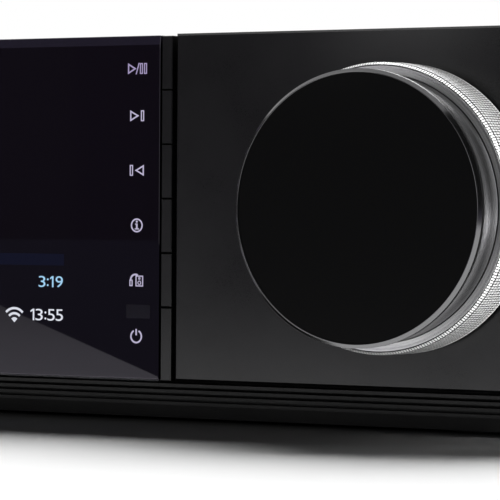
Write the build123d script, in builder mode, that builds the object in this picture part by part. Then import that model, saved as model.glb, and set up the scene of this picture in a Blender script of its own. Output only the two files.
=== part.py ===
"""Network music streamer with a glass front, six side buttons and a large double knob.

Millimetres. X points right, Y points back and Z up. The origin is on the floor, under
the middle of the whole box. The front of the knob and the ends of the loudspeaker
terminals are the front and back of that box.
"""

import math
import os

from build123d import *

os.makedirs("parts", exist_ok=True)

# Whole object
overall_width = 317.0
overall_depth = 352.0
overall_height = 89.0

# Clearances and overrun
cut_overrun = 1.0
press_clearance = 0.05
running_clearance = 0.08
panel_gap = 0.3

# Front plate with the knob; the glass and the plate stand on the base
base_height = 10.0
fascia_width = 117.0
fascia_thickness = 6.0
fascia_chamfer = 0.5

# Glass panel
glass_thickness = 3.2
glass_drop = 0.3
glass_edge_chamfer = 0.25

# Button column between the glass and the front plate
button_width = 2.78
button_depth = 5.0
button_gap = 0.3
last_button_extra = 4.48
button_glass_gap = 0.42
button_channel = 1.0
button_chamfer = 0.2
button_travel = 0.6
stem_width = 1.6
stem_height = 3.0
stem_length = 4.9
button_names = ["play_pause", "next", "previous", "info", "output", "power"]

# Screen behind the glass
display_thickness = 5.5
display_border = 1.2
display_from_glass_left = 9.4
display_from_glass_right = 24.7
display_from_glass_top = 8.2
display_from_glass_bottom = 10.2
display_board_width = 100.0
display_board_height = 44.0

# Light guide and remote receiver behind the signs
icon_from_glass_right = 6.1
guide_width = 9.6
guide_thickness = 2.0
guide_margin = 5.0
receiver_width = 6.4
receiver_height = 3.1
receiver_depth = 5.0
receiver_from_glass_bottom = 15.9

# Moulded front frame
frame_inset = 2.0
frame_depth = 9.7
frame_bottom_gap = 1.5
frame_top_gap = 1.0
boss_radius = 3.0

# Circuit boards
board_thickness = 1.6
board_gap = 10.0
standoff_radius = 3.0
standoff_height = 10.1
standoff_inset = 5.0

# Small switches behind the buttons
switch_size = 6.0
switch_depth = 3.4
plunger_radius = 1.6
plunger_length = 0.9
plunger_gap = 0.05
button_board_width = 16.0
button_board_margin = 3.3

# Outer knob ring
ring_radius = 31.27
ring_wall = 2.02
ring_gap = 1.0
ring_length = 11.16
ring_web = 3.0
ring_chamfer = 0.35

# Inner knob
knob_reach = 22.3
knob_rim_radius = 29.83
knob_rim_chamfer = 0.72
knob_rim_land = 1.0
knob_rim_flat = 0.15
knob_neck_radius = 28.75
knob_foot_radius = 28.95
knob_skirt_radius = 28.7
knob_skirt_wall = 3.2
knob_front_wall = 5.3
knob_hub_radius = 10.0
knob_web_gap = 0.6
cap_thickness = 1.2
cap_inset = 0.2

# Shafts and encoder
tube_radius = 5.5
tube_proud = 1.0
tube_end_gap = 0.3
shaft_radius = 3.0
shaft_end_gap = 0.2
encoder_size = 20.0
encoder_depth = 10.0
encoder_tube_seat = 5.0
encoder_shaft_seat = 2.8
bushing_radius = 7.0
bushing_set_back = 0.5
nut_flats = 18.0
nut_thickness = 2.4
nut_recess_radius = 11.5
nut_recess_depth = 3.2
control_board_width = 76.0
control_board_top_margin = 5.0
control_board_bottom_gap = 1.2

# Headphone socket in the front plate
headphone_from_edge = 22.5
headphone_from_bottom = 10.0
headphone_radius = 1.78
headphone_depth = 15.0
headphone_barrel_radius = 3.6
headphone_body_size = 12.0
headphone_set_back = 0.3

# Case
tray_thickness = 1.5
side_frame_thickness = 6.0
side_frame_inset = 7.0
cover_thickness = 2.5
cover_drop = 0.3
rear_panel_thickness = 2.0
vent_width = 3.0
vent_length = 60.0
vent_pitch = 9.0
vent_from_rear = 60.0
rear_vent_height = 14.0
rear_vent_drop = 6.0

# Grooved side panels and their magnets
side_panel_inset = 2.0
groove_width = 1.4
groove_depth = 1.2
groove_pitch = 9.0
magnet_radius = 5.0
magnet_depth = 2.0
magnet_from_ends = 55.0
magnet_from_top = 13.0

# Plinth, foot bars and feet
fin_count = 4
fin_thickness = 0.75
fin_pitch = 1.47
fin_inset = 1.0
fin_step = 1.4
fin_reach = 3.0
fin_corner_radius = 6.0
foot_drop = 0.7
foot_bar_height = 3.4
foot_bar_length = 250.0
foot_bar_width = 28.0
foot_bar_set_back = 12.0
foot_bar_corner = 10.0
foot_pad_radius = 9.0
foot_pad_sink = 1.3
foot_pad_from_end = 16.0

# Case screws
screw_radius = 1.5
screw_head_radius = 2.8
screw_head_height = 1.6
screw_length = 10.0
screw_hole_spare = 1.0
rear_screw_margin = 9.0
cover_screw_margin = 20.0

# Gaps along the back, from the left: before the terminals, then between neighbours
rear_gap_shares = [20.0, 11.2, 4.2, 4.8, 5.1, 4.8, 6.0]
terminals_from_edge = 7.5
inlet_from_edge = 11.0

# Loudspeaker terminals
post_reach = 19.0
post_spacing = 19.0
post_pair_spacing = 45.0
post_height = 22.5
post_radius = 3.2
post_bore_radius = 2.0
post_bore_depth = 15.0
post_collar_radius = 6.5
post_collar_length = 3.0
post_inner_length = 15.0
post_nut_flats = 10.0
post_nut_thickness = 3.5
post_cap_radius = 7.5
post_set_back = 1.5
post_plate_thickness = 2.0
post_plate_margin = 10.0
post_plate_height = 24.0
post_boss_margin = 6.0
post_boss_height = 14.0
post_boss_depth = 5.0
cap_names = ["right_minus", "right_plus", "left_minus", "left_plus"]

# Phono sockets
phono_pitch = 18.0
phono_columns = 3
phono_block_width = 13.6
phono_block_depth = 14.0
phono_foot = 6.8
phono_row_spacing = 19.0
phono_nose_radius = 5.2
phono_nose_length = 0.6
phono_barrel_radius = 4.15
phono_barrel_root_radius = 4.0
phono_barrel_wall = 0.75
phono_barrel_length = 8.0
phono_barrel_root = 5.0
phono_contact_radius = 1.65
phono_contact_depth = 12.0
phono_core_set_back = 1.2

# Data sockets
socket_proud = 0.4
ethernet_width = 16.0
ethernet_height = 13.5
ethernet_depth = 20.0
ethernet_mouth_width = 11.8
ethernet_mouth_height = 8.0
ethernet_mouth_rise = 3.0
ethernet_mouth_depth = 14.0
usb_width = 14.4
usb_height = 7.0
usb_depth = 15.0
usb_wall = 0.95
usb_mouth_depth = 9.0
usb_tongue_thickness = 1.8
usb_tongue_gap = 1.4
hdmi_width = 15.4
hdmi_height = 6.4
hdmi_depth = 12.0
hdmi_wall = 0.8
hdmi_corner = 1.6
hdmi_mouth_depth = 9.0
hdmi_tongue_thickness = 1.2
hdmi_tongue_gap = 1.8

# Plate round the data sockets, let into the rear panel with a lip behind it
socket_plate_side = 2.0
socket_plate_above = 4.0
socket_plate_below = 2.0
socket_plate_lip = 1.5
socket_plate_lip_depth = 1.0

# Optical input with its flap
optical_width = 11.0
optical_height = 11.5
optical_depth = 14.0
optical_mouth = 8.4
optical_mouth_depth = 10.4
flap_thickness = 0.8
flap_set_back = 1.0
flap_pin_radius = 0.6
flap_pin_drop = 1.0
flap_pin_seat = 0.7

# Mains inlet
inlet_rise = 20.5
inlet_flange_width = 31.0
inlet_flange_height = 24.0
inlet_flange_thickness = 1.8
inlet_body_width = 27.6
inlet_body_height = 20.0
inlet_body_depth = 20.0
inlet_mouth_width = 24.6
inlet_mouth_height = 17.0
inlet_mouth_depth = 15.0
inlet_corner = 3.0
blade_width = 2.0
blade_height = 4.0
blade_spacing = 14.0
blade_rise = 2.0
blade_set_back = 2.8
blade_tail = 3.0

# Mains switch
switch_rise_over_inlet = 28.0
switch_flange_width = 15.0
switch_flange_height = 22.0
switch_flange_thickness = 2.0
switch_body_width = 13.0
switch_body_height = 19.8
switch_body_depth = 14.0
switch_mouth_width = 10.8
switch_mouth_height = 17.6
switch_mouth_depth = 13.0
rocker_side_gap = 0.3
rocker_half_height = 7.6
rocker_horn = 6.5
rocker_waist = 5.0
rocker_shoulder = 1.5
rocker_root = 3.0
rocker_tilt = 7.0
rocker_pivot_depth = 4.0
rocker_pin_radius = 1.2
rocker_pin_length = 0.6

# Boards and parts inside the case
main_board_depth = 90.0
main_board_left_margin = 5.2
main_board_right_margin = 1.0
main_board_rear_gap = 5.0
processor_size = 32.0
processor_height = 3.0
memory_size = 18.0
memory_height = 2.0
network_chip_width = 24.0
network_chip_depth = 14.0
network_chip_height = 2.2
chip_spacing = 40.0
chip_front_margin = 28.0
supply_board_width = 110.0
supply_board_depth = 118.0
supply_edge_gap = 5.5
transformer_width = 42.0
transformer_depth = 36.0
transformer_height = 32.0
capacitor_radius = 11.0
capacitor_height = 35.0
capacitor_pitch = 25.0
capacitor_count = 4
supply_part_margin = 16.0
amplifier_board_depth = 120.0
amplifier_post_gap = 5.0
sink_side_margin = 8.0
sink_depth = 70.0
sink_base = 5.0
sink_fin_height = 42.0
sink_fin_thickness = 2.0
sink_fin_count = 10

# Main planes worked out from the sizes
half_width = overall_width / 2
front_y = -overall_depth / 2 + knob_reach
rear_y = overall_depth / 2 - post_reach
fascia_bottom = base_height
fascia_height = overall_height - base_height
fascia_left = half_width - fascia_width
fascia_back = front_y + fascia_thickness
frame_back = front_y + frame_depth
glass_back = front_y + glass_thickness
glass_top = overall_height - glass_drop
glass_bottom = fascia_bottom - glass_drop
button_right = fascia_left - button_channel
button_left = button_right - button_width
glass_right = button_left - button_glass_gap
knob_x = fascia_left + fascia_width / 2
knob_z = fascia_bottom + fascia_height / 2
body_middle_y = (front_y + rear_y) / 2
body_depth = rear_y - front_y
panel_front = rear_y - rear_panel_thickness
tray_top = fascia_bottom + tray_thickness
cover_top = overall_height - cover_drop
cover_bottom = cover_top - cover_thickness
case_half = half_width - side_frame_inset
frame_inner_half = case_half - side_frame_thickness
side_panel_half = half_width - side_panel_inset
board_bottom = tray_top + standoff_height
board_top = board_bottom + board_thickness


def across(y):
    """A plane across the player at depth y: its x runs right and its y runs up."""
    return Plane.XZ.offset(-y)


def block(x, y, z, mode=Mode.ADD):
    """A block between the two values given for each axis."""
    with Locations((x[0], y[0], z[0])):
        Box(
            x[1] - x[0],
            y[1] - y[0],
            z[1] - z[0],
            align=(Align.MIN, Align.MIN, Align.MIN),
            mode=mode,
        )


def rods_back(radius, places, y, mode=Mode.ADD):
    """Round rods that run back from y[0] to y[1], at places given as (x, z)."""
    with BuildSketch(across(y[0])) as ends:
        with Locations(*places):
            Circle(radius)
    extrude(ends.sketch, amount=y[0] - y[1], mode=mode)


def rods_up(radius, places, z, mode=Mode.ADD):
    """Round rods that run up from z[0] to z[1], at places given as (x, y)."""
    with BuildSketch(Plane.XY.offset(z[0])) as ends:
        with Locations(*places):
            Circle(radius)
    extrude(ends.sketch, amount=z[1] - z[0], mode=mode)


def around(middle, width):
    """The low and high value of a width centred on a middle."""
    return (middle - width / 2, middle + width / 2)


def wider(span, margin):
    """A low and high value moved apart by a margin on each side."""
    return (span[0] - margin, span[1] + margin)


# Base plate with fins that step inwards towards the floor
plinth_bottom = foot_drop + foot_bar_height
core_inset = fin_inset + (fin_count - 1) * fin_step + fin_reach

with BuildPart() as ribbed_plinth:
    with BuildSketch(Plane.XY.offset(plinth_bottom)):
        with Locations((0, body_middle_y)):
            RectangleRounded(
                overall_width - 2 * core_inset, body_depth - 2 * core_inset, fin_corner_radius
            )
    extrude(amount=fascia_bottom - plinth_bottom)
    for fin_number in range(fin_count):
        inset = fin_inset + (fin_count - 1 - fin_number) * fin_step
        with BuildSketch(Plane.XY.offset(plinth_bottom + fin_number * fin_pitch)):
            with Locations((0, body_middle_y)):
                RectangleRounded(
                    overall_width - 2 * inset, body_depth - 2 * inset, fin_corner_radius
                )
        extrude(amount=fin_thickness)
ribbed_plinth.part.label = "ribbed_plinth"
export_step(ribbed_plinth.part, "parts/ribbed_plinth.step")

# Two low bars under the plinth, with round recesses for the pads
bar_middles = [
    front_y + foot_bar_set_back + foot_bar_width / 2,
    rear_y - foot_bar_set_back - foot_bar_width / 2,
]
pad_x = foot_bar_length / 2 - foot_pad_from_end
pad_places = [(x, y) for x in (-pad_x, pad_x) for y in bar_middles]

with BuildPart() as foot_bars:
    with BuildSketch(Plane.XY.offset(foot_drop)):
        with Locations(*[(0, y) for y in bar_middles]):
            RectangleRounded(foot_bar_length, foot_bar_width, foot_bar_corner)
    extrude(amount=foot_bar_height)
    rods_up(
        foot_pad_radius + press_clearance,
        pad_places,
        (foot_drop - cut_overrun, foot_drop + foot_pad_sink),
        mode=Mode.SUBTRACT,
    )
foot_bars.part.label = "foot_bars"
export_step(foot_bars.part, "parts/foot_bars.step")

with BuildPart() as rubber_feet:
    rods_up(foot_pad_radius, pad_places, (0, foot_drop + foot_pad_sink))
rubber_feet.part.label = "rubber_feet"
export_step(rubber_feet.part, "parts/rubber_feet.step")

# Floor of the case
with BuildPart() as base_tray:
    block((-case_half, case_half), (frame_back, panel_front), (fascia_bottom, tray_top))
base_tray.part.label = "base_tray"
export_step(base_tray.part, "parts/base_tray.step")

# Side walls with pockets for the magnets and tapped holes for the case screws
screw_x = case_half - side_frame_thickness / 2
rear_screw_heights = [tray_top + rear_screw_margin, cover_bottom - rear_screw_margin]
cover_screw_depths = [
    frame_back + cover_screw_margin,
    (frame_back + panel_front) / 2,
    panel_front - cover_screw_margin,
]
magnet_depths = [frame_back + magnet_from_ends, panel_front - magnet_from_ends]
magnet_heights = [tray_top + magnet_from_top, cover_bottom - magnet_from_top]
magnet_places = [(y, z) for y in magnet_depths for z in magnet_heights]
screw_hole_radius = screw_radius + press_clearance
screw_hole_depth = screw_length + screw_hole_spare


def magnet_discs(side, radius, mode=Mode.ADD):
    """Discs let into the outer face of a side wall; side is 1 at the right, -1 at the left."""
    with BuildSketch(Plane.YZ.offset(side * case_half)) as discs:
        with Locations(*magnet_places):
            Circle(radius)
    extrude(discs.sketch, amount=-side * magnet_depth, mode=mode)


for side, side_name in ((-1, "left"), (1, "right")):
    with BuildPart() as side_frame:
        wall = sorted((side * frame_inner_half, side * case_half))
        block(wall, (frame_back, panel_front), (tray_top, cover_bottom))
        magnet_discs(side, magnet_radius + press_clearance, mode=Mode.SUBTRACT)
        rods_back(
            screw_hole_radius,
            [(side * screw_x, z) for z in rear_screw_heights],
            (panel_front - screw_hole_depth, panel_front + cut_overrun),
            mode=Mode.SUBTRACT,
        )
        rods_up(
            screw_hole_radius,
            [(side * screw_x, y) for y in cover_screw_depths],
            (cover_bottom - screw_hole_depth, cover_bottom + cut_overrun),
            mode=Mode.SUBTRACT,
        )
    side_frame.part.label = f"side_frame_{side_name}"
    export_step(side_frame.part, f"parts/side_frame_{side_name}.step")

with BuildPart() as panel_magnets:
    magnet_discs(-1, magnet_radius)
    magnet_discs(1, magnet_radius)
panel_magnets.part.label = "panel_magnets"
export_step(panel_magnets.part, "parts/panel_magnets.step")

# Grooved outer panels, which pull off sideways
panel_heights = (fascia_bottom + panel_gap, cover_bottom - panel_gap)
panel_depths = (frame_back + panel_gap, rear_y)
groove_count = int((panel_heights[1] - panel_heights[0]) // groove_pitch)

for side, side_name in ((-1, "left"), (1, "right")):
    with BuildPart() as side_panel:
        wall = sorted((side * (case_half + panel_gap), side * side_panel_half))
        block(wall, panel_depths, panel_heights)
        with BuildSketch(Plane.YZ.offset(side * side_panel_half)):
            with Locations((sum(panel_depths) / 2, sum(panel_heights) / 2)):
                with GridLocations(0, groove_pitch, 1, groove_count):
                    Rectangle(rear_y - frame_back + cut_overrun, groove_width)
        extrude(amount=-side * groove_depth, mode=Mode.SUBTRACT)
    side_panel.part.label = f"side_panel_{side_name}"
    export_step(side_panel.part, f"parts/side_panel_{side_name}.step")

# Everything along the back, from the left: the least gap before each thing, and its width
socket_plate_reach = socket_plate_side + socket_plate_lip
rear_things = [
    (terminals_from_edge, post_pair_spacing + post_spacing + 2 * post_plate_margin),
    (0, (phono_columns - 1) * phono_pitch + phono_block_width),
    (socket_plate_reach, optical_width),
    (0, hdmi_width),
    (0, usb_width),
    (0, ethernet_width),
    (socket_plate_reach, inlet_flange_width),
]
rear_free_width = 2 * case_half - inlet_from_edge - sum(sum(thing) for thing in rear_things)
rear_spans = []
span_start = -case_half
for gap_share, (least_gap, rear_width) in zip(rear_gap_shares, rear_things):
    span_start += least_gap + rear_free_width * gap_share / sum(rear_gap_shares)
    rear_spans.append((span_start, span_start + rear_width))
    span_start += rear_width
rear_middles = [sum(span) / 2 for span in rear_spans]
post_plate_span, phono_span, optical_span = rear_spans[:3]
optical_x, hdmi_x, usb_x, ethernet_x, inlet_x = rear_middles[2:]
ethernet_span = around(ethernet_x, ethernet_width)

# Heights and places of the sockets
inlet_z = tray_top + inlet_rise
switch_z = inlet_z + switch_rise_over_inlet
optical_z = board_top + optical_height / 2
first_phono_x = phono_span[0] + phono_block_width / 2
phono_xs = [first_phono_x + number * phono_pitch for number in range(phono_columns)]
phono_rows = [board_top + phono_foot, board_top + phono_foot + phono_row_spacing]
phono_places = [(x, z) for x in phono_xs for z in phono_rows]
post_z = tray_top + post_height
first_post_x = post_plate_span[0] + post_plate_margin
post_xs = [
    first_post_x,
    first_post_x + post_spacing,
    first_post_x + post_pair_spacing,
    first_post_x + post_pair_spacing + post_spacing,
]
post_places = [(x, post_z) for x in post_xs]
post_boss_span = (post_xs[0] - post_boss_margin, post_xs[-1] + post_boss_margin)

# Rear panel, cut out for everything that comes through it
socket_end = rear_y + socket_proud
cut_depths = (panel_front - cut_overrun, rear_y + cut_overrun)
window_x = wider((optical_span[0], ethernet_span[1]), socket_plate_side)
window_z = (board_top - socket_plate_below, board_top + ethernet_height + socket_plate_above)
rear_cuts = [
    (around(inlet_x, inlet_body_width), around(inlet_z, inlet_body_height)),
    (around(inlet_x, switch_body_width), around(switch_z, switch_body_height)),
    (window_x, window_z),
    (post_boss_span, around(post_z, post_boss_height)),
]
socket_cuts = [
    (ethernet_span, (board_top, board_top + ethernet_height)),
    (around(usb_x, usb_width), (board_top, board_top + usb_height)),
    (around(hdmi_x, hdmi_width), (board_top, board_top + hdmi_height)),
    (optical_span, (board_top, board_top + optical_height)),
]

with BuildPart() as rear_panel:
    block((-case_half, case_half), (panel_front, rear_y), (fascia_bottom, cover_bottom))
    for cut_x, cut_z in rear_cuts:
        block(
            wider(cut_x, press_clearance),
            cut_depths,
            wider(cut_z, press_clearance),
            mode=Mode.SUBTRACT,
        )
    rods_back(phono_nose_radius + press_clearance, phono_places, cut_depths, mode=Mode.SUBTRACT)
    rods_back(
        screw_hole_radius,
        [(x, z) for x in (-screw_x, screw_x) for z in rear_screw_heights],
        cut_depths,
        mode=Mode.SUBTRACT,
    )
    rear_vent_z = cover_bottom - rear_vent_drop - rear_vent_height / 2
    rear_vent_x = (post_plate_span[0] + phono_span[1]) / 2
    rear_vent_count = int((phono_span[1] - post_plate_span[0]) // vent_pitch)
    with BuildSketch(across(cut_depths[0])):
        with Locations((rear_vent_x, rear_vent_z)):
            with GridLocations(vent_pitch, 0, rear_vent_count, 1):
                SlotOverall(rear_vent_height, vent_width, rotation=90)
    extrude(amount=cut_depths[0] - cut_depths[1], mode=Mode.SUBTRACT)
rear_panel.part.label = "rear_panel"
export_step(rear_panel.part, "parts/rear_panel.step")

with BuildPart() as socket_plate:
    block(
        wider(window_x, socket_plate_lip),
        (panel_front - socket_plate_lip_depth, panel_front),
        wider(window_z, socket_plate_lip),
    )
    block(window_x, (panel_front, rear_y), window_z)
    for cut_x, cut_z in socket_cuts:
        block(
            wider(cut_x, press_clearance),
            (panel_front - socket_plate_lip_depth - cut_overrun, rear_y + cut_overrun),
            wider(cut_z, press_clearance),
            mode=Mode.SUBTRACT,
        )
socket_plate.part.label = "socket_plate"
export_step(socket_plate.part, "parts/socket_plate.step")

# Lid with vent slots over the hot parts
vent_count = int((2 * frame_inner_half - vent_length) // vent_pitch)
vent_y = rear_y - vent_from_rear - vent_length / 2

with BuildPart() as top_cover:
    block((-side_panel_half, side_panel_half), panel_depths, (cover_bottom, cover_top))
    with BuildSketch(Plane.XY.offset(cover_bottom)):
        with Locations((0, vent_y)):
            with GridLocations(vent_pitch, 0, vent_count, 1):
                SlotOverall(vent_length, vent_width, rotation=90)
    extrude(amount=cover_thickness, mode=Mode.SUBTRACT)
    cover_screw_places = [(x, y) for x in (-screw_x, screw_x) for y in cover_screw_depths]
    rods_up(
        screw_hole_radius,
        cover_screw_places,
        (cover_bottom - cut_overrun, cover_top + cut_overrun),
        mode=Mode.SUBTRACT,
    )
    rods_up(
        screw_head_radius + press_clearance,
        cover_screw_places,
        (cover_top - screw_head_height, cover_top + cut_overrun),
        mode=Mode.SUBTRACT,
    )
top_cover.part.label = "top_cover"
export_step(top_cover.part, "parts/top_cover.step")

with BuildPart() as case_screws:
    rear_screw_places = [(x, z) for x in (-screw_x, screw_x) for z in rear_screw_heights]
    rods_back(screw_radius, rear_screw_places, (rear_y - screw_length, rear_y))
    rods_back(screw_head_radius, rear_screw_places, (rear_y, rear_y + screw_head_height))
    cover_head_bottom = cover_top - screw_head_height
    rods_up(
        screw_radius, cover_screw_places, (cover_head_bottom - screw_length, cover_head_bottom)
    )
    rods_up(screw_head_radius, cover_screw_places, (cover_head_bottom, cover_top))
case_screws.part.label = "case_screws"
export_step(case_screws.part, "parts/case_screws.step")

# Screen, light guide and receiver spans, which the front frame is cut for
display_x = (
    -half_width + display_from_glass_left,
    glass_right - display_from_glass_right,
)
display_z = (
    glass_bottom + display_from_glass_bottom,
    glass_top - display_from_glass_top,
)
module_x = wider(display_x, display_border)
module_z = wider(display_z, display_border)
icon_x = glass_right - icon_from_glass_right
guide_x = around(icon_x, guide_width)
guide_z = (glass_bottom + guide_margin, glass_top - guide_margin)
receiver_x = around(icon_x, receiver_width)
receiver_z = around(glass_bottom + receiver_from_glass_bottom, receiver_height)

# Heights of the six buttons, from the top down; the last takes what is left
button_pitch = (glass_top - glass_bottom - last_button_extra) / len(button_names)
button_edges = [glass_top - number * button_pitch for number in range(len(button_names))]
button_edges.append(glass_bottom)
button_spans = [
    (low + button_gap / 2, high - button_gap / 2)
    for high, low in zip(button_edges[:-1], button_edges[1:])
]
stem_x = (button_left + button_right) / 2
stem_zs = [sum(span) / 2 for span in button_spans]
button_back = front_y + button_depth
stem_back = button_back + stem_length
plunger_front = stem_back + button_travel + plunger_gap
switch_front = plunger_front + plunger_length
button_board_front = switch_front + switch_depth
button_board_x = around((icon_x + button_right) / 2, button_board_width)
button_board_z = wider((stem_zs[-1], stem_zs[0]), button_board_margin)
board_boss_x = button_board_x[0] + boss_radius

# Board behind the encoder
encoder_back = frame_back + encoder_depth
headphone_x = half_width - headphone_from_edge
headphone_z = fascia_bottom + headphone_from_bottom
headphone_place = [(headphone_x, headphone_z)]
knob_place = [(knob_x, knob_z)]
control_x = around(knob_x, control_board_width)
control_z = (
    headphone_z + headphone_body_size / 2 + control_board_bottom_gap,
    cover_bottom - control_board_top_margin,
)
control_bosses = [
    (x, z)
    for x in wider(control_x, -boss_radius)
    for z in wider(control_z, -boss_radius)
]

# Moulded frame behind the glass
frame_half = half_width - frame_inset
frame_split = glass_right - button_glass_gap
frame_z = (fascia_bottom + frame_bottom_gap, overall_height - frame_top_gap)

with BuildPart() as front_frame:
    block((-frame_half, frame_split), (glass_back, frame_back), frame_z)
    block(
        wider(module_x, panel_gap),
        (glass_back - cut_overrun, frame_back + cut_overrun),
        wider(module_z, panel_gap),
        mode=Mode.SUBTRACT,
    )
    block(
        wider(guide_x, press_clearance),
        (glass_back - cut_overrun, glass_back + guide_thickness),
        wider(guide_z, press_clearance),
        mode=Mode.SUBTRACT,
    )
    block(
        wider(receiver_x, press_clearance),
        (glass_back, glass_back + receiver_depth),
        wider(receiver_z, press_clearance),
        mode=Mode.SUBTRACT,
    )
    rods_back(
        boss_radius,
        [(board_boss_x, z) for z in wider(button_board_z, -boss_radius)],
        (frame_back, button_board_front),
    )
front_frame.part.label = "front_frame"
export_step(front_frame.part, "parts/front_frame.step")

# Moulded backing of the front plate, slotted for the button stems
with BuildPart() as knob_backing:
    block((frame_split, frame_half), (fascia_back, frame_back), frame_z)
    for stem_z in stem_zs:
        block(
            wider(around(stem_x, stem_width), panel_gap),
            (fascia_back - cut_overrun, frame_back + cut_overrun),
            wider(around(stem_z, stem_height), panel_gap),
            mode=Mode.SUBTRACT,
        )
    frame_cut = (fascia_back - cut_overrun, frame_back + cut_overrun)
    rods_back(bushing_radius + press_clearance, knob_place, frame_cut, mode=Mode.SUBTRACT)
    rods_back(
        headphone_barrel_radius + press_clearance, headphone_place, frame_cut, mode=Mode.SUBTRACT
    )
    rods_back(boss_radius, control_bosses, (frame_back, encoder_back))
knob_backing.part.label = "knob_backing"
export_step(knob_backing.part, "parts/knob_backing.step")

# Gloss panel at the left
with BuildPart() as display_glass:
    block((-half_width, glass_right), (front_y, glass_back), (glass_bottom, glass_top))
    chamfer(display_glass.faces().sort_by(Axis.Y)[0].edges(), length=glass_edge_chamfer)
display_glass.part.label = "display_glass"
export_step(display_glass.part, "parts/display_glass.step")

with BuildPart() as display_module:
    block(module_x, (glass_back, glass_back + display_thickness), module_z)
display_module.part.label = "display_module"
export_step(display_module.part, "parts/display_module.step")

# Clear strip behind the signs, with a window for the remote receiver
with BuildPart() as icon_light_guide:
    block(guide_x, (glass_back, glass_back + guide_thickness), guide_z)
    block(
        wider(receiver_x, press_clearance),
        (glass_back - cut_overrun, glass_back + guide_thickness + cut_overrun),
        wider(receiver_z, press_clearance),
        mode=Mode.SUBTRACT,
    )
icon_light_guide.part.label = "icon_light_guide"
export_step(icon_light_guide.part, "parts/icon_light_guide.step")

with BuildPart() as ir_receiver:
    block(receiver_x, (glass_back, glass_back + receiver_depth), receiver_z)
ir_receiver.part.label = "ir_receiver"
export_step(ir_receiver.part, "parts/ir_receiver.step")

# Satin plate that the knob stands on
with BuildPart() as knob_fascia:
    block((fascia_left, half_width), (front_y, fascia_back), (fascia_bottom, overall_height))
    chamfer(knob_fascia.faces().sort_by(Axis.Y)[0].edges(), length=fascia_chamfer)
    fascia_cut = (front_y - cut_overrun, fascia_back + cut_overrun)
    rods_back(bushing_radius + press_clearance, knob_place, fascia_cut, mode=Mode.SUBTRACT)
    rods_back(
        nut_recess_radius,
        knob_place,
        (front_y - cut_overrun, front_y + nut_recess_depth),
        mode=Mode.SUBTRACT,
    )
    rods_back(
        headphone_barrel_radius + press_clearance, headphone_place, fascia_cut, mode=Mode.SUBTRACT
    )
knob_fascia.part.label = "knob_fascia"
export_step(knob_fascia.part, "parts/knob_fascia.step")

# Six buttons, each with a stem that reaches its switch
for button_name, button_span, stem_z in zip(button_names, button_spans, stem_zs):
    with BuildPart() as button:
        block((button_left, button_right), (front_y, button_back), button_span)
        chamfer(button.faces().sort_by(Axis.Y)[0].edges(), length=button_chamfer)
        block(
            around(stem_x, stem_width), (button_back, stem_back), around(stem_z, stem_height)
        )
    button.part.label = f"button_{button_name}"
    export_step(button.part, f"parts/button_{button_name}.step")

with BuildPart() as tact_switches:
    for stem_z in stem_zs:
        block(
            around(stem_x, switch_size),
            (switch_front, button_board_front),
            around(stem_z, switch_size),
        )
    rods_back(plunger_radius, [(stem_x, z) for z in stem_zs], (plunger_front, switch_front))
tact_switches.part.label = "tact_switches"
export_step(tact_switches.part, "parts/tact_switches.step")

# Outer ring: distances ahead of the front plate
ring_back = front_y - ring_gap
ring_front = ring_back - ring_length
web_front = ring_back - ring_web
ring_inner_radius = ring_radius - ring_wall
tube_front = web_front - tube_proud
bushing_front = front_y + bushing_set_back
tube_seat_end = frame_back + encoder_tube_seat
tube_bore_radius = shaft_radius + running_clearance
shaft_seat_end = tube_seat_end + encoder_shaft_seat

with BuildPart() as selector_ring:
    rods_back(ring_radius, knob_place, (ring_front, ring_back))
    chamfer(selector_ring.edges().filter_by(GeomType.CIRCLE), length=ring_chamfer)
    rods_back(
        ring_inner_radius, knob_place, (ring_front - cut_overrun, web_front), mode=Mode.SUBTRACT
    )
    rods_back(
        tube_radius,
        knob_place,
        (web_front - cut_overrun, ring_back + cut_overrun),
        mode=Mode.SUBTRACT,
    )
selector_ring.part.label = "selector_ring"
export_step(selector_ring.part, "parts/selector_ring.step")

with BuildPart() as selector_shaft:
    tube_depths = (tube_front, tube_seat_end - tube_end_gap)
    rods_back(tube_radius, knob_place, tube_depths)
    rods_back(tube_bore_radius, knob_place, wider(tube_depths, cut_overrun), mode=Mode.SUBTRACT)
selector_shaft.part.label = "selector_shaft"
export_step(selector_shaft.part, "parts/selector_shaft.step")

# Inner knob, turned about the shaft: radius across, distance ahead of the front plate up
knob_plane = Plane(origin=(knob_x, front_y, knob_z), x_dir=(1, 0, 0), z_dir=(0, 0, 1))
knob_axis = Axis((knob_x, front_y, knob_z), (0, -1, 0))
skirt_end = -(web_front - front_y) + knob_web_gap
hub_end = -(tube_front - front_y) + knob_web_gap
ring_face = ring_front - front_y
rim_back = knob_reach - knob_rim_chamfer - knob_rim_land
wall_back = knob_reach - knob_front_wall
recess_radius = knob_rim_radius - knob_rim_chamfer - knob_rim_flat
recess_depth = cap_thickness + cap_inset
shaft_front = wall_back + encoder_shaft_seat / 2
skirt_inner_radius = knob_skirt_radius - knob_skirt_wall
foot_start = -ring_face + panel_gap
neck_middle = (foot_start + rim_back) / 2

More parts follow.
